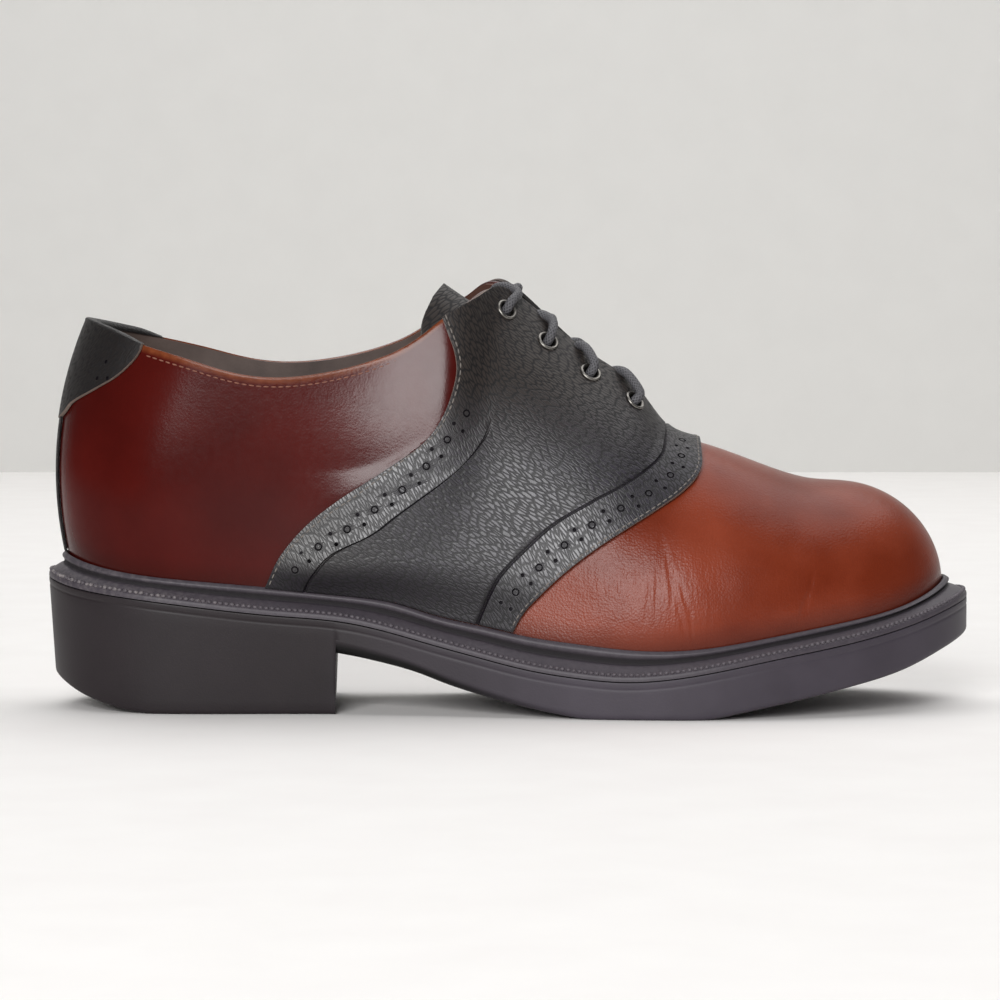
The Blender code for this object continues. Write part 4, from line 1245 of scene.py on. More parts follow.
# %% Boolean cuts
for piece, cutter in ((saddle, eyelet_cutter), (saddle, hole_cutter), (upper, eyelet_cutter),
                      (lining, eyelet_cutter), (tab, tab_cutter)):
    finish_with(piece, "BOOLEAN", object=cutter, operation="DIFFERENCE", solver="EXACT",
                material_mode="TRANSFER")
for cutter in (eyelet_cutter, hole_cutter, tab_cutter):
    bpy.data.objects.remove(cutter)
smooth(saddle, 35.0)
smooth(tab, 35.0)
print("saddle", len(saddle.data.polygons), "upper", len(upper.data.polygons))

# %% [markdown]
# ## Thread
# The edges of the saddle and the collar are sewn with one row of waxed thread each. A stitch could be
# a bent tube, but at this size only its back shows, so it is a bead a little shorter than the pitch,
# half sunk in the leather. The welt's stitches are moulded in its rubber and rounder.

# %% Saddle stitches
STITCH_PITCH = 2.3
EDGE_SHARE = 0.075
FIRST_LEVEL = 2
stitch = bead(length=1.75, width=0.5, height=0.42)
black_rows = []
for edge, line in ((rear_edge, rear_line), (front_edge, front_line)):
    inside_edge = edge + (line - edge) * EDGE_SHARE
    face_lift = CLEAR + OVERLAY + surface_lift(inside_edge)
    for at in (inside_edge, LOOP - inside_edge):
        points, normals = last_run(at[FIRST_LEVEL:], saddle_share[FIRST_LEVEL:], face_lift[FIRST_LEVEL:])
        black_rows.append(stamped("black_stitches", stitch, row_frames(points, normals, STITCH_PITCH)))
saddle_thread = joined(black_rows)
dress(saddle_thread, "grey_thread")
smooth(saddle_thread, 80.0)
print("saddle thread", len(saddle_thread.data.polygons), "faces")

# %% Collar stitches
COLLAR_SEAM = 3.0
SEAM_END = place_at_x(124.0)
collar_at = np.linspace(SEAM_END, LOOP - SEAM_END, 900)
collar_at = collar_at[(collar_at < corner - 1.0) | (collar_at > LOOP - corner + 1.0)]
brown_rows = []
for run in (collar_at[collar_at < HALF], collar_at[collar_at > HALF]):
    shares = []
    for at in run:
        probe = np.linspace(1.0, 0.8, 40)
        below_rim = run_lengths(last_points(np.full(len(probe), at), probe), 0)
        shares.append(np.interp(COLLAR_SEAM, below_rim, probe))
    points, normals = last_run(run, np.array(shares), 0.0)
    brown_rows.append(stamped("collar_stitches", stitch, row_frames(points, normals, STITCH_PITCH)))
collar_thread = joined(brown_rows)
dress(collar_thread, "brown_thread")
smooth(collar_thread, 80.0)
bpy.data.objects.remove(stitch)
print("collar thread", len(collar_thread.data.polygons), "faces")

# %% Moulded stitches on the welt
WELT_SEAM = 0.86
WELT_SEAM_LIFT = 0.25
WELT_SEAM_PITCH = 1.8
welt_bead = bead(length=1.5, width=1.5, height=1.2)
foot, out, value = foot_line(welt_at)
ridge_run = foot + out * (CLEAR + (value["ledge"] - CLEAR) * WELT_SEAM)[:, None]
ridge_run[:, 2] = value["ridge_z"] + WELT_SEAM_LIFT
ridge_frames = row_frames(ridge_run, np.tile(UP, (len(out), 1)), WELT_SEAM_PITCH)
welt_stitches = stamped("welt_stitches", welt_bead, ridge_frames)
dress(welt_stitches, "dusty_welt_stitches")
smooth(welt_stitches, 80.0)
bpy.data.objects.remove(welt_bead)
print("welt stitches", len(ridge_frames[0]))

# %% [markdown]
# ## The lace
# The lace is one round cord of waxed cotton. From the hidden bar under the lowest eyelets it comes up
# through each eyelet, crosses over the slit, goes under the other facing and up through the next
# eyelet; past the top row both ends are tucked away under the facings. Its route is a list of points
# taken from the eyelets' own frames, so it always runs through their holes.

# %% Route of the lace
LACE_RADIUS = 1.55
FACING = 2.2
UNDER = FACING + LACE_RADIUS + 0.3
OVER = CLEAR + OVERLAY + LACE_RADIUS + 0.15
TUCKED_END = 7.0


def spot_on(at, share, lift, lean=0.0):
    """A point off the last: lifted along its normal and moved towards the rim."""
    at, share = np.array([at]), np.array([share])
    normal = last_normals(at, share)[0]
    upward = last_points(at, share + SHARE_NUDGE)[0] - last_points(at, share - SHARE_NUDGE)[0]
    upward /= np.linalg.norm(upward)
    return last_points(at, share)[0] + normal * lift + upward * lean


def come_up(name):
    """Up through an eyelet."""
    at, share = eyelets[name]
    return [spot_on(at, share, -UNDER, -0.6), spot_on(at, share, -0.8), spot_on(at, share, 2.0, 0.3),
            spot_on(at, share, OVER + 0.5, 2.4)]


# how far along to the next row the lace crosses the facing's edge; below zero is back to the toe
CROSSING = {4: 0.42, 3: 0.36, 2: 0.06, 1: -0.14}
TOP_STEP = 10.2


def cross_over(start, row, lift):
    """Over the facing's edge, across the slit and under the other facing."""
    start_at = eyelets[start][0]
    to_heel = 1.0 if start.startswith("lat") else -1.0
    next_row = abs(eyelets[f"lat_{row - 1}"][0] - eyelets[f"lat_{row}"][0]) if row > 1 else TOP_STEP
    first = start_at + to_heel * next_row * CROSSING[row]
    second = LOOP - start_at - to_heel * next_row * (CROSSING[row] + 0.3)
    over = spot_on(first, 1.0, OVER, -1.6)
    under = spot_on(second, 1.0, -UNDER - 0.4, -0.6)
    middle = 0.5 * (over + under) + UP * lift
    return [over, middle, under]


def zigzag(first):
    """All the eyelets that one end of the lace goes through, from the lowest row up."""
    route = []
    side = first
    for row in range(len(EYELET_X), 0, -1):
        name = f"{side}_{row}"
        side = "med" if side == "lat" else "lat"
        on_top = (first == "lat") == (row > 1)
        route += come_up(name) + cross_over(name, row, 1.6 if on_top else -0.8)
    return route + [route[-1] - UP * TUCKED_END]


bottom_bar = 0.5 * (spot_on(*eyelets["lat_4"], -UNDER - 1.0) + spot_on(*eyelets["med_4"], -UNDER - 1.0))
route = zigzag("lat")[::-1] + [bottom_bar] + zigzag("med")
lace_line = soft_run(np.array(route), 10)
lace_length = run_lengths(lace_line, 0)
LACE_STEP = 0.6
SOFTENINGS = 6
even = np.linspace(0.0, lace_length[-1], int(lace_length[-1] / LACE_STEP))
lace_line = np.column_stack([np.interp(even, lace_length, lace_line[:, axis]) for axis in range(3)])
for _ in range(SOFTENINGS):
    lace_line[1:-1] = 0.25 * lace_line[:-2] + 0.5 * lace_line[1:-1] + 0.25 * lace_line[2:]
print("lace, one tucked end to the other:", round(lace_length[-1]), "mm")

# %% Lace tube
LACE_SIDES = 14
LACE_UV_PER_MM = 0.1
way = np.gradient(lace_line, axis=0)
way /= np.linalg.norm(way, axis=1)[:, None]
side_way = [np.cross(way[0], UP)]
for direction in way[1:]:
    turned_side = side_way[-1] - direction * np.dot(side_way[-1], direction)
    side_way.append(turned_side / np.linalg.norm(turned_side))
side_way = np.array(side_way)
third_way = np.cross(way, side_way)
turns = np.linspace(0.0, math.tau, LACE_SIDES + 1)
spokes = (np.cos(turns)[None, :, None] * side_way[:, None, :]
          + np.sin(turns)[None, :, None] * third_way[:, None, :])
lace_points = lace_line[:, None, :] + LACE_RADIUS * spokes
lace_run = run_lengths(lace_line, 0)
lace_uv = np.stack(np.broadcast_arrays(turns[None, :] / math.tau, lace_run[:, None] * LACE_UV_PER_MM), -1)
lace = sheet("waxed_lace", lace_points, uv=lace_uv)
weld(lace)
dress(lace, "waxed_cotton_lace")
only(lace)
bpy.ops.object.mode_set(mode="EDIT")
bpy.ops.mesh.select_all(action="SELECT")
bpy.ops.mesh.fill_holes(sides=0)
bpy.ops.object.mode_set(mode="OBJECT")
face_outward(lace)
smooth(lace, 80.0)
print("lace", len(lace.data.polygons), "faces")


# %% [markdown]
# ## Finishes
# Each finish starts from what the real material is. Three small helpers do the work: one turns a sRGB
# hex colour into linear light, one adds a node with its settings and links, and one opens a finish by
# its name.

# %% Helpers for finishes
def colour(code):
    """Linear colour from a sRGB hex code."""
    parts = [int(code[start:start + 2], 16) / 255.0 for start in (0, 2, 4)]
    linear = [part / 12.92 if part <= 0.04045 else ((part + 0.055) / 1.055) ** 2.4 for part in parts]
    return (*linear, 1.0)


def add(tree, kind, sockets=(), **settings):
    """Add a node; a socket gets a value, or a link where it is given another node's output."""
    node = tree.nodes.new("ShaderNode" + kind)
    for key, value in settings.items():
        setattr(node, key, value)
    for key, value in dict(sockets).items():
        if isinstance(value, bpy.types.NodeSocket):
            tree.links.new(value, node.inputs[key])
        else:
            node.inputs[key].default_value = value
    return node


def nodes_of(name):
    """The node tree of a named finish, and its shader."""
    material = bpy.data.materials.get(name) or bpy.data.materials.new(name)
    material.use_nodes = True
    return material.node_tree, material.node_tree.nodes["Principled BSDF"]


PER_MM = 1000.0

# %% [markdown]
# ### Brown calf
# Aniline-dyed calf, waxed and brushed: nearly smooth, with fine pores that sparkle where a lamp is
# mirrored. The dye sinks in unevenly, so the colour is clouded: oxblood quarters, a tan vamp. The
# lowest 7 mm above the welt are mixed darker; the folded collar edge is worn to orange. The vamp
# is walked duller and its pores are open, while the quarters are smoother; round the heel much of the
# wax is gone. The sheet's own marks say how far a spot is from rim, foot and crease.

# %% Brown calf: colour
tree, shader = nodes_of("waxed_brown_calf")
coordinates = add(tree, "TexCoord")
place = add(tree, "SeparateXYZ", {0: coordinates.outputs["Object"]})
slant = add(tree, "Math", {0: place.outputs["Z"], 1: -0.8, 2: place.outputs["X"]}, operation="MULTIPLY_ADD")
is_vamp = add(tree, "MapRange", {"Value": slant.outputs[0], "From Min": -0.072, "From Max": -0.052})
cloud = add(tree, "TexNoise", {"Vector": coordinates.outputs["Object"], "Scale": PER_MM / 34.0,
                               "Detail": 5.0})
fleck = add(tree, "TexNoise", {"Vector": coordinates.outputs["Object"], "Scale": PER_MM / 2.2,
                               "Detail": 4.0})
cloud_part = add(tree, "MapRange", {"Value": cloud.outputs["Fac"], "From Min": 0.36, "From Max": 0.64})
quarter = add(tree, "Mix", {0: cloud_part.outputs[0], 6: colour("3f0d0a"), 7: colour("4b110d")},
              data_type="RGBA")
vamp = add(tree, "Mix", {0: cloud_part.outputs[0], 6: colour("6b2713"), 7: colour("813722")},
           data_type="RGBA")
both = add(tree, "Mix", {0: is_vamp.outputs[0], 6: quarter.outputs[2], 7: vamp.outputs[2]},
           data_type="RGBA")
foot_mark = add(tree, "Attribute", attribute_name="above_foot")
# the lowest 7 mm above the welt are mixed towards a darker brown
waxed = add(tree, "MapRange", {"Value": foot_mark.outputs["Fac"], "From Min": 0.0, "From Max": 7.0,
                               "To Min": 0.55, "To Max": 0.0})
footed = add(tree, "Mix", {0: waxed.outputs[0], 6: both.outputs[2], 7: colour("330d08")}, data_type="RGBA")
rim_mark = add(tree, "Attribute", attribute_name="below_rim")
rim_part = add(tree, "MapRange", {"Value": rim_mark.outputs["Fac"], "From Min": 2.6, "From Max": 1.0})
is_collar = add(tree, "MapRange", {"Value": place.outputs["X"], "From Min": -0.016, "From Max": -0.021})
worn_rim = add(tree, "Math", {0: rim_part.outputs[0], 1: is_collar.outputs[0]}, operation="MULTIPLY")
rim_tone = add(tree, "Mix", {0: fleck.outputs["Fac"], 6: colour("451a0d"), 7: colour("86472a")},
               data_type="RGBA")
edged = add(tree, "Mix", {0: worn_rim.outputs[0], 6: footed.outputs[2], 7: rim_tone.outputs[2]},
            data_type="RGBA")
tree.links.new(edged.outputs[2], shader.inputs["Base Color"])
print("calf, nodes for its colour:", len(tree.nodes))

# %% Brown calf: gloss and grain
shine = add(tree, "MapRange", {"Value": fleck.outputs["Fac"], "To Min": 0.15, "To Max": 0.24})
walked = add(tree, "Math", {0: is_vamp.outputs[0], 1: 0.12, 2: shine.outputs[0]}, operation="MULTIPLY_ADD")
tree.links.new(walked.outputs[0], shader.inputs["Roughness"])
wax = add(tree, "MapRange", {"Value": place.outputs["X"], "From Min": -0.11, "From Max": -0.05,
                             "To Min": 0.09, "To Max": 0.23})
shader.inputs["Specular IOR Level"].default_value = 0.2
tree.links.new(wax.outputs[0], shader.inputs["Specular IOR Level"])
pores = add(tree, "TexVoronoi", {"Vector": coordinates.outputs["Object"], "Scale": PER_MM / 0.7})
open_pores = add(tree, "MapRange", {"Value": is_vamp.outputs[0], "To Min": 0.05, "To Max": 0.26})
pore_bump = add(tree, "Bump", {"Strength": open_pores.outputs[0], "Distance": 0.0002,
                               "Height": pores.outputs["Distance"]})
fleck_bump = add(tree, "Bump", {"Strength": 0.06, "Distance": 0.0004, "Height": fleck.outputs["Fac"],
                                "Normal": pore_bump.outputs[0]})
wrinkle_mark = add(tree, "Attribute", attribute_name="creased")
upright = add(tree, "Mapping", {"Vector": coordinates.outputs["Object"],
                                "Scale": (PER_MM / 1.1, PER_MM / 3.0, PER_MM / 11.0)})
streak = add(tree, "TexNoise", {"Vector": upright.outputs[0], "Scale": 1.0, "Detail": 3.0})
wrinkle = add(tree, "Math", {0: streak.outputs["Fac"], 1: wrinkle_mark.outputs["Fac"]},
              operation="MULTIPLY")
wrinkle_bump = add(tree, "Bump", {"Strength": 0.26, "Distance": 0.0006, "Height": wrinkle.outputs[0],
                                  "Normal": fleck_bump.outputs[0]})
tree.links.new(wrinkle_bump.outputs[0], shader.inputs["Normal"])
print("calf, all nodes:", len(tree.nodes))

# %% [markdown]
# ### Black pebbled leather
# Drum-tumbled side leather: the skin shrinks into small pebbles that are pulled long in one direction,
# and the drum polishes their tops. The pattern is a Voronoi crackle on the piece's own UV map, laid out
# in real millimetres: on the body the pebbles lie down to the toe, on the bands they stand steeper.
# The bands are polished most; facings, toe side, heel tab and the foot that is pressed flat over the
# welt are duller. The tones also hold painted light and shade: the cracks between pebbles, the heel tab
# and the foot over the welt are painted darker, a painted shade, and the top near the facings is painted
# a lighter brown-grey, a painted reflection.

# %% Black pebbled leather: pebbles
PEBBLE = (2.9 * UV_PER_MM, 1.0 * UV_PER_MM, 1.0)
tree, shader = nodes_of("black_pebbled_leather")
flat = add(tree, "UVMap")
lying = add(tree, "Mapping", {"Vector": flat.outputs[0], "Rotation": (0.0, 0.0, math.radians(-24.0)),
                              "Scale": PEBBLE}, vector_type="TEXTURE")
standing = add(tree, "Mapping", {"Vector": flat.outputs[0], "Rotation": (0.0, 0.0, math.radians(-58.0)),
                                 "Scale": PEBBLE}, vector_type="TEXTURE")
band_mark = add(tree, "Attribute", attribute_name="on_band")
laid = add(tree, "Mix", {0: band_mark.outputs["Fac"], 4: lying.outputs[0], 5: standing.outputs[0]},
           data_type="VECTOR")
swirl = add(tree, "TexNoise", {"Vector": laid.outputs[1], "Scale": 0.45, "Detail": 2.0})
bent = add(tree, "Mix", {0: 0.22, 4: laid.outputs[1], 5: swirl.outputs["Color"]}, data_type="VECTOR")
cracks = add(tree, "TexVoronoi", {"Vector": bent.outputs[1], "Scale": 1.25},
             voronoi_dimensions="2D", feature="DISTANCE_TO_EDGE")
cells = add(tree, "TexVoronoi", {"Vector": bent.outputs[1], "Scale": 1.25}, voronoi_dimensions="2D")
dome = add(tree, "MapRange", {"Value": cracks.outputs["Distance"], "From Max": 0.27},
           interpolation_type="SMOOTHSTEP")
fine = add(tree, "TexNoise", {"Vector": bent.outputs[1], "Scale": 3.5, "Detail": 4.0})
coordinates = add(tree, "TexCoord")
place = add(tree, "SeparateXYZ", {0: coordinates.outputs["Object"]})
high_up = add(tree, "MapRange", {"Value": place.outputs["Z"], "From Min": 0.078, "From Max": 0.104})
off_heel = add(tree, "MapRange", {"Value": place.outputs["X"], "From Min": -0.06, "From Max": -0.03})
near_facing = add(tree, "Math", {0: high_up.outputs[0], 1: off_heel.outputs[0]}, operation="MULTIPLY")
pressed_and_shaded_mark = add(tree, "Attribute", attribute_name="pressed_and_shaded")
smoothed = add(tree, "Math", {0: near_facing.outputs[0], 1: pressed_and_shaded_mark.outputs["Fac"]},
               operation="MAXIMUM")
grain = add(tree, "MapRange", {"Value": smoothed.outputs[0], "To Min": 0.24, "To Max": 0.16})
pebble_bump = add(tree, "Bump", {"Strength": grain.outputs[0], "Distance": 0.0004,
                                 "Height": dome.outputs[0]})
fine_bump = add(tree, "Bump", {"Strength": 0.12, "Distance": 0.0003, "Height": fine.outputs["Fac"],
                               "Normal": pebble_bump.outputs[0]})
tree.links.new(fine_bump.outputs[0], shader.inputs["Normal"])
print("pebbled leather, nodes for its grain:", len(tree.nodes))

# %% Black pebbled leather: tone
chance = add(tree, "SeparateColor", {0: cells.outputs["Color"]})
cell_tone = add(tree, "Mix", {0: chance.outputs[0], 6: colour("1e1b21"), 7: colour("2e2a33")},
                data_type="RGBA")
# painted reflection: high up near the facings the leather is painted a lighter brown-grey
zone_tone = add(tree, "Mix", {0: near_facing.outputs[0], 6: cell_tone.outputs[2], 7: colour("332d2a")},
                data_type="RGBA")
# painted shade: behind the waist (heel tab, back strip, rear foot of the saddle) the leather is painted
# darker
heel_tone = add(tree, "Mix", {0: off_heel.outputs[0], 6: colour("1c1716"), 7: zone_tone.outputs[2]},
                data_type="RGBA")
# painted shade: the foot of the saddle over the welt is painted darker
pressed_and_shaded_tone = add(tree, "Mix", {0: pressed_and_shaded_mark.outputs["Fac"], 6: heel_tone.outputs[2],
                                 7: colour("17121a")}, data_type="RGBA")
# painted shade: the cracks between the pebbles are painted near black
tone = add(tree, "Mix", {0: dome.outputs[0], 6: colour("0d0b0d"), 7: pressed_and_shaded_tone.outputs[2]},
           data_type="RGBA")
tree.links.new(tone.outputs[2], shader.inputs["Base Color"])
polish = add(tree, "MapRange", {"Value": dome.outputs[0], "To Min": 0.6, "To Max": 0.4})
tree.links.new(polish.outputs[0], shader.inputs["Roughness"])
to_toe = add(tree, "MapRange", {"Value": place.outputs["X"], "From Min": 0.02, "From Max": 0.05})
dulled = add(tree, "Math", {0: to_toe.outputs[0], 1: smoothed.outputs[0]}, operation="MAXIMUM")
at_heel = add(tree, "MapRange", {"Value": place.outputs["X"], "From Min": -0.09, "From Max": -0.12})
matt = add(tree, "Math", {0: dulled.outputs[0], 1: at_heel.outputs[0]}, operation="MAXIMUM")
band_gloss = add(tree, "MapRange", {"Value": band_mark.outputs["Fac"], "To Min": 0.7, "To Max": 1.0})
gloss = add(tree, "MapRange", {"Value": matt.outputs[0], "To Min": band_gloss.outputs[0], "To Max": 0.38})
tree.links.new(gloss.outputs[0], shader.inputs["Specular IOR Level"])
print("pebbled leather, all nodes:", len(tree.nodes))

# %% [markdown]
# ### Cut edges, holes and lining
# A cut edge shows the fibres of the hide, undyed and greyer than its face. Punched holes are painted
# near black, a painted shade in the recess. The lining is undyed kid, matt and worn grey under the heel;
# near the facings it is backed with the brown leather.

# %% Raw edge
tree, shader = nodes_of("raw_leather_edge")
coordinates = add(tree, "TexCoord")
fibres = add(tree, "TexNoise", {"Vector": coordinates.outputs["Object"], "Scale": PER_MM / 0.8,
                                "Detail": 4.0})
raw = add(tree, "Mix", {0: fibres.outputs["Fac"], 6: colour("4a3e37"), 7: colour("95847a")},
          data_type="RGBA")
place = add(tree, "SeparateXYZ", {0: coordinates.outputs["Object"]})
at_slit = add(tree, "MapRange", {"Value": place.outputs["X"], "From Min": -0.008, "From Max": 0.0})
high_up = add(tree, "MapRange", {"Value": place.outputs["Z"], "From Min": 0.085, "From Max": 0.092})
dyed = add(tree, "Math", {0: at_slit.outputs[0], 1: high_up.outputs[0]}, operation="MULTIPLY")
tone = add(tree, "Mix", {0: dyed.outputs[0], 6: raw.outputs[2], 7: colour("1d191a")}, data_type="RGBA")
tree.links.new(tone.outputs[2], shader.inputs["Base Color"])
fibre_bump = add(tree, "Bump", {"Strength": 0.3, "Distance": 0.0002, "Height": fibres.outputs["Fac"]})
tree.links.new(fibre_bump.outputs[0], shader.inputs["Normal"])
shader.inputs["Roughness"].default_value = 0.75
print("raw edge nodes:", len(tree.nodes))

# %% Punched holes
tree, shader = nodes_of("painted_hole_shade")
coordinates = add(tree, "TexCoord")
# painted shade: walls and floors of the holes are painted near black, mottled by noise
dust = add(tree, "TexNoise", {"Vector": coordinates.outputs["Object"], "Scale": PER_MM / 1.5,
                              "Detail": 3.0})
tone = add(tree, "Mix", {0: dust.outputs["Fac"], 6: colour("100e10"), 7: colour("28252a")},
           data_type="RGBA")
tree.links.new(tone.outputs[2], shader.inputs["Base Color"])
shader.inputs["Roughness"].default_value = 0.85
shader.inputs["Specular IOR Level"].default_value = 0.1
print("punched hole nodes:", len(tree.nodes))

# %% Lining leather
tree, shader = nodes_of("worn_lining_kid")
coordinates = add(tree, "TexCoord")
place = add(tree, "SeparateXYZ", {0: coordinates.outputs["Object"]})
cloud = add(tree, "TexNoise", {"Vector": coordinates.outputs["Object"], "Scale": PER_MM / 12.0,
                               "Detail": 6.0})
grey = add(tree, "Mix", {0: cloud.outputs["Fac"], 6: colour("332825"), 7: colour("71615a")},
           data_type="RGBA")
brown = add(tree, "Mix", {0: cloud.outputs["Fac"], 6: colour("45251b"), 7: colour("704838")},
            data_type="RGBA")
near_lace = add(tree, "MapRange", {"Value": place.outputs["X"], "From Min": -0.034, "From Max": -0.018})
tone = add(tree, "Mix", {0: near_lace.outputs[0], 6: grey.outputs[2], 7: brown.outputs[2]},
           data_type="RGBA")
tree.links.new(tone.outputs[2], shader.inputs["Base Color"])
nap = add(tree, "TexNoise", {"Vector": coordinates.outputs["Object"], "Scale": PER_MM / 0.9, "Detail": 3.0})
nap_bump = add(tree, "Bump", {"Strength": 0.25, "Distance": 0.0003, "Height": nap.outputs["Fac"]})
tree.links.new(nap_bump.outputs[0], shader.inputs["Normal"])
shader.inputs["Roughness"].default_value = 0.72
print("lining nodes:", len(tree.nodes))

# %% [markdown]
# ### Rubber
# Sole and welt are moulded rubber with a fine even bloom; the sole is painted lighter from the waist to the
# toe, a painted sheen.
# The bevel under the arch faces the floor and lies in shade, so it is painted near black, a painted
# shade. The welt's channel is painted dark too, a painted shade, and dust sits in its stitches, most of
# all round the heel, where nothing wipes it off.

# %% Moulded rubber
tree, shader = nodes_of("moulded_black_rubber")
coordinates = add(tree, "TexCoord")
place = add(tree, "SeparateXYZ", {0: coordinates.outputs["Object"]})
cloud = add(tree, "TexNoise", {"Vector": coordinates.outputs["Object"], "Scale": PER_MM / 20.0,
                               "Detail": 6.0})
heel_tone = add(tree, "Mix", {0: cloud.outputs["Fac"], 6: colour("1c1619"), 7: colour("292225")},
                data_type="RGBA")
fore_tone = add(tree, "Mix", {0: cloud.outputs["Fac"], 6: colour("322d34"), 7: colour("4a444d")},
                data_type="RGBA")
# painted sheen: the sole's colour goes lighter from the waist to the toe
bends = add(tree, "MapRange", {"Value": place.outputs["X"], "From Min": -0.06, "From Max": 0.02})
clean = add(tree, "Mix", {0: bends.outputs[0], 6: heel_tone.outputs[2], 7: fore_tone.outputs[2]},
            data_type="RGBA")
arch_shade_mark = add(tree, "Attribute", attribute_name="arch_shade")
# painted shade: the bevel under the arch is painted near black
tone = add(tree, "Mix", {0: arch_shade_mark.outputs["Fac"], 6: clean.outputs[2], 7: colour("080607")},
           data_type="RGBA")
tree.links.new(tone.outputs[2], shader.inputs["Base Color"])
grit = add(tree, "TexNoise", {"Vector": coordinates.outputs["Object"], "Scale": PER_MM / 0.6,
                              "Detail": 2.0})
grit_bump = add(tree, "Bump", {"Strength": 0.15, "Distance": 0.0002, "Height": grit.outputs["Fac"]})
tree.links.new(grit_bump.outputs[0], shader.inputs["Normal"])
bloom = add(tree, "MapRange", {"Value": cloud.outputs["Fac"], "To Min": 0.42, "To Max": 0.58})
tree.links.new(bloom.outputs[0], shader.inputs["Roughness"])
shader.inputs["Specular IOR Level"].default_value = 0.3
print("rubber nodes:", len(tree.nodes))

# %% Welt and its stitches
for name, low, high, dust_high in (("moulded_rubber_welt", "38333a", "504a50", 0.1),
                                   ("dusty_welt_stitches", "3c373c", "6a646a", 0.55)):
    tree, shader = nodes_of(name)
    coordinates = add(tree, "TexCoord")
    place = add(tree, "SeparateXYZ", {0: coordinates.outputs["Object"]})
    cloud = add(tree, "TexNoise", {"Vector": coordinates.outputs["Object"], "Scale": PER_MM / 1.6,
                                   "Detail": 6.0})
    clean = add(tree, "Mix", {0: cloud.outputs["Fac"], 6: colour(low), 7: colour(high)}, data_type="RGBA")
    at_heel = add(tree, "MapRange", {"Value": place.outputs["X"], "From Min": -0.075, "From Max": -0.135,
                                     "To Max": dust_high})
    speck = add(tree, "MapRange", {"Value": cloud.outputs["Fac"], "From Min": 0.45, "From Max": 0.62})
    dusty = add(tree, "Math", {0: at_heel.outputs[0], 1: speck.outputs[0]}, operation="MULTIPLY")
    dusted = add(tree, "Mix", {0: dusty.outputs[0], 6: clean.outputs[2], 7: colour("a39c99")},
                 data_type="RGBA")
    # painted shade: the welt's channel is painted near black
    channel_shade_mark = add(tree, "Attribute", attribute_name="channel_shade")
    tone = add(tree, "Mix", {0: channel_shade_mark.outputs["Fac"], 6: dusted.outputs[2], 7: colour("171416")},
               data_type="RGBA")
    tree.links.new(tone.outputs[2], shader.inputs["Base Color"])
    dull = add(tree, "MapRange", {"Value": channel_shade_mark.outputs["Fac"], "To Min": 0.45, "To Max": 0.8})
    tree.links.new(dull.outputs[0], shader.inputs["Roughness"])
    shader.inputs["Specular IOR Level"].default_value = 0.3
    print(name, "nodes:", len(tree.nodes))

# %% [markdown]
# ### Metal, lace, thread and paper
# The eyelets are blackened brass, rubbed bright on the roll. The lace is braided from waxed cotton: two
# sets of strands wind round it in opposite directions, which two wave patterns on its UV map give. Thread
# is spun, so its tone changes along every stitch. The paper is matt with faint clouds of pulp; it is
# darker beyond the lower edge of the picture, because the polished leather mirrors that part of it.

# %% Blackened brass
tree, shader = nodes_of("blackened_brass")
coordinates = add(tree, "TexCoord")
rubbed = add(tree, "TexNoise", {"Vector": coordinates.outputs["Object"], "Scale": PER_MM / 1.6,
                                "Detail": 4.0})
tone = add(tree, "Mix", {0: rubbed.outputs["Fac"], 6: colour("5c5956"), 7: colour("a5a19b")},
           data_type="RGBA")
tree.links.new(tone.outputs[2], shader.inputs["Base Color"])
shader.inputs["Metallic"].default_value = 1.0
shader.inputs["Roughness"].default_value = 0.36
print("brass nodes:", len(tree.nodes))

# %% Waxed cotton lace
STRAND = 0.86
# length of one wave of the wave texture at a scale of one
WAVE_LENGTH = 0.1 * math.pi
tree, shader = nodes_of("waxed_cotton_lace")
flat = add(tree, "UVMap")
around = math.tau * LACE_RADIUS
strands = []
for turn in (45.0, -45.0):
    in_mm = add(tree, "Mapping", {"Vector": flat.outputs[0], "Scale": (around, 1.0 / LACE_UV_PER_MM, 1.0),
                                  "Rotation": (0.0, 0.0, math.radians(turn))})
    strands.append(add(tree, "TexWave", {"Vector": in_mm.outputs[0], "Scale": WAVE_LENGTH / STRAND,
                                         "Distortion": 0.4}))
braid = add(tree, "Math", {0: strands[0].outputs["Fac"], 1: strands[1].outputs["Fac"]}, operation="MAXIMUM")
tone = add(tree, "Mix", {0: braid.outputs[0], 6: colour("29282a"), 7: colour("5a595d")}, data_type="RGBA")
tree.links.new(tone.outputs[2], shader.inputs["Base Color"])
braid_bump = add(tree, "Bump", {"Strength": 0.7, "Distance": 0.0003, "Height": braid.outputs[0]})
tree.links.new(braid_bump.outputs[0], shader.inputs["Normal"])
shader.inputs["Roughness"].default_value = 0.5
print("lace nodes:", len(tree.nodes))

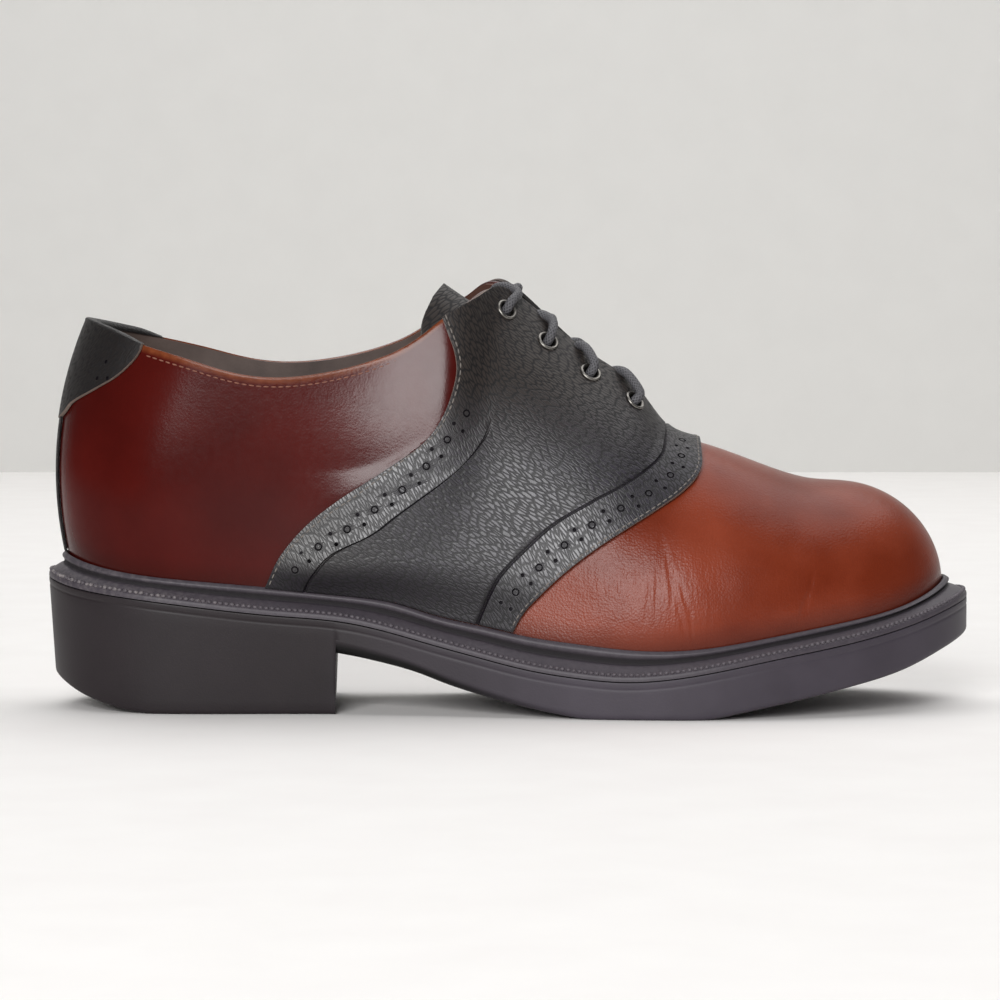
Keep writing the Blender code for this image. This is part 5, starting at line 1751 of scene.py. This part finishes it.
# %% Threads
for name, low, high in (("grey_thread", "423d3a", "8d857e"), ("brown_thread", "54261a", "9a6650")):
    tree, shader = nodes_of(name)
    coordinates = add(tree, "TexCoord")
    spun = add(tree, "TexNoise", {"Vector": coordinates.outputs["Object"], "Scale": PER_MM / 0.7,
                                  "Detail": 3.0})
    tone = add(tree, "Mix", {0: spun.outputs["Fac"], 6: colour(low), 7: colour(high)}, data_type="RGBA")
    tree.links.new(tone.outputs[2], shader.inputs["Base Color"])
    shader.inputs["Roughness"].default_value = 0.6
    print(name, "nodes:", len(tree.nodes))

# %% Paper
for name, low, high in (("pale_paper", "f1eeec", "f8f6f4"), ("grey_wall_paper", "dbdad7", "e0dfdc")):
    tree, shader = nodes_of(name)
    coordinates = add(tree, "TexCoord")
    pulp = add(tree, "TexNoise", {"Vector": coordinates.outputs["Object"], "Scale": PER_MM / 30.0,
                                  "Detail": 4.0})
    tone = add(tree, "Mix", {0: pulp.outputs["Fac"], 6: colour(low), 7: colour(high)}, data_type="RGBA")
    place = add(tree, "SeparateXYZ", {0: coordinates.outputs["Object"]})
    far = add(tree, "MapRange", {"Value": place.outputs["Y"], "From Min": -0.55, "From Max": -1.2,
                                 "To Max": 0.9})
    faded = add(tree, "Mix", {0: far.outputs[0], 6: tone.outputs[2], 7: colour("6f6d6a")}, data_type="RGBA")
    tree.links.new(faded.outputs[2], shader.inputs["Base Color"])
    shader.inputs["Roughness"].default_value = 0.8
    print(name, "nodes:", len(tree.nodes))
dress(floor, "pale_paper", "grey_wall_paper")

# %% [markdown]
# ## Pieces on the shoe
# Every piece rides with the shoe's one body and stands for the solids it covers.

# %% Pieces and their solids
belongs(upper, "brown_leather", "upper")
belongs(lining, "lining")
belongs(saddle, "black_leather", "saddle")
belongs(tab, "black_leather", "heel_tab")
belongs(tongue, "black_leather", "tongue")
belongs(footbed, "lining", "insole")
belongs(welt, "welt", "welt")
belongs(welt_stitches, "welt")
belongs(sole, "sole_rubber", "outsole")
for piece, name in zip(eyelet_pieces, eyelets):
    belongs(piece, "eyelet_metal", f"eyelet_{name}")
belongs(lace, "lace", "lace_bar", "lace_cross_1", "lace_cross_2", "lace_cross_3")
belongs(saddle_thread, "black_leather")
belongs(collar_thread, "brown_leather")
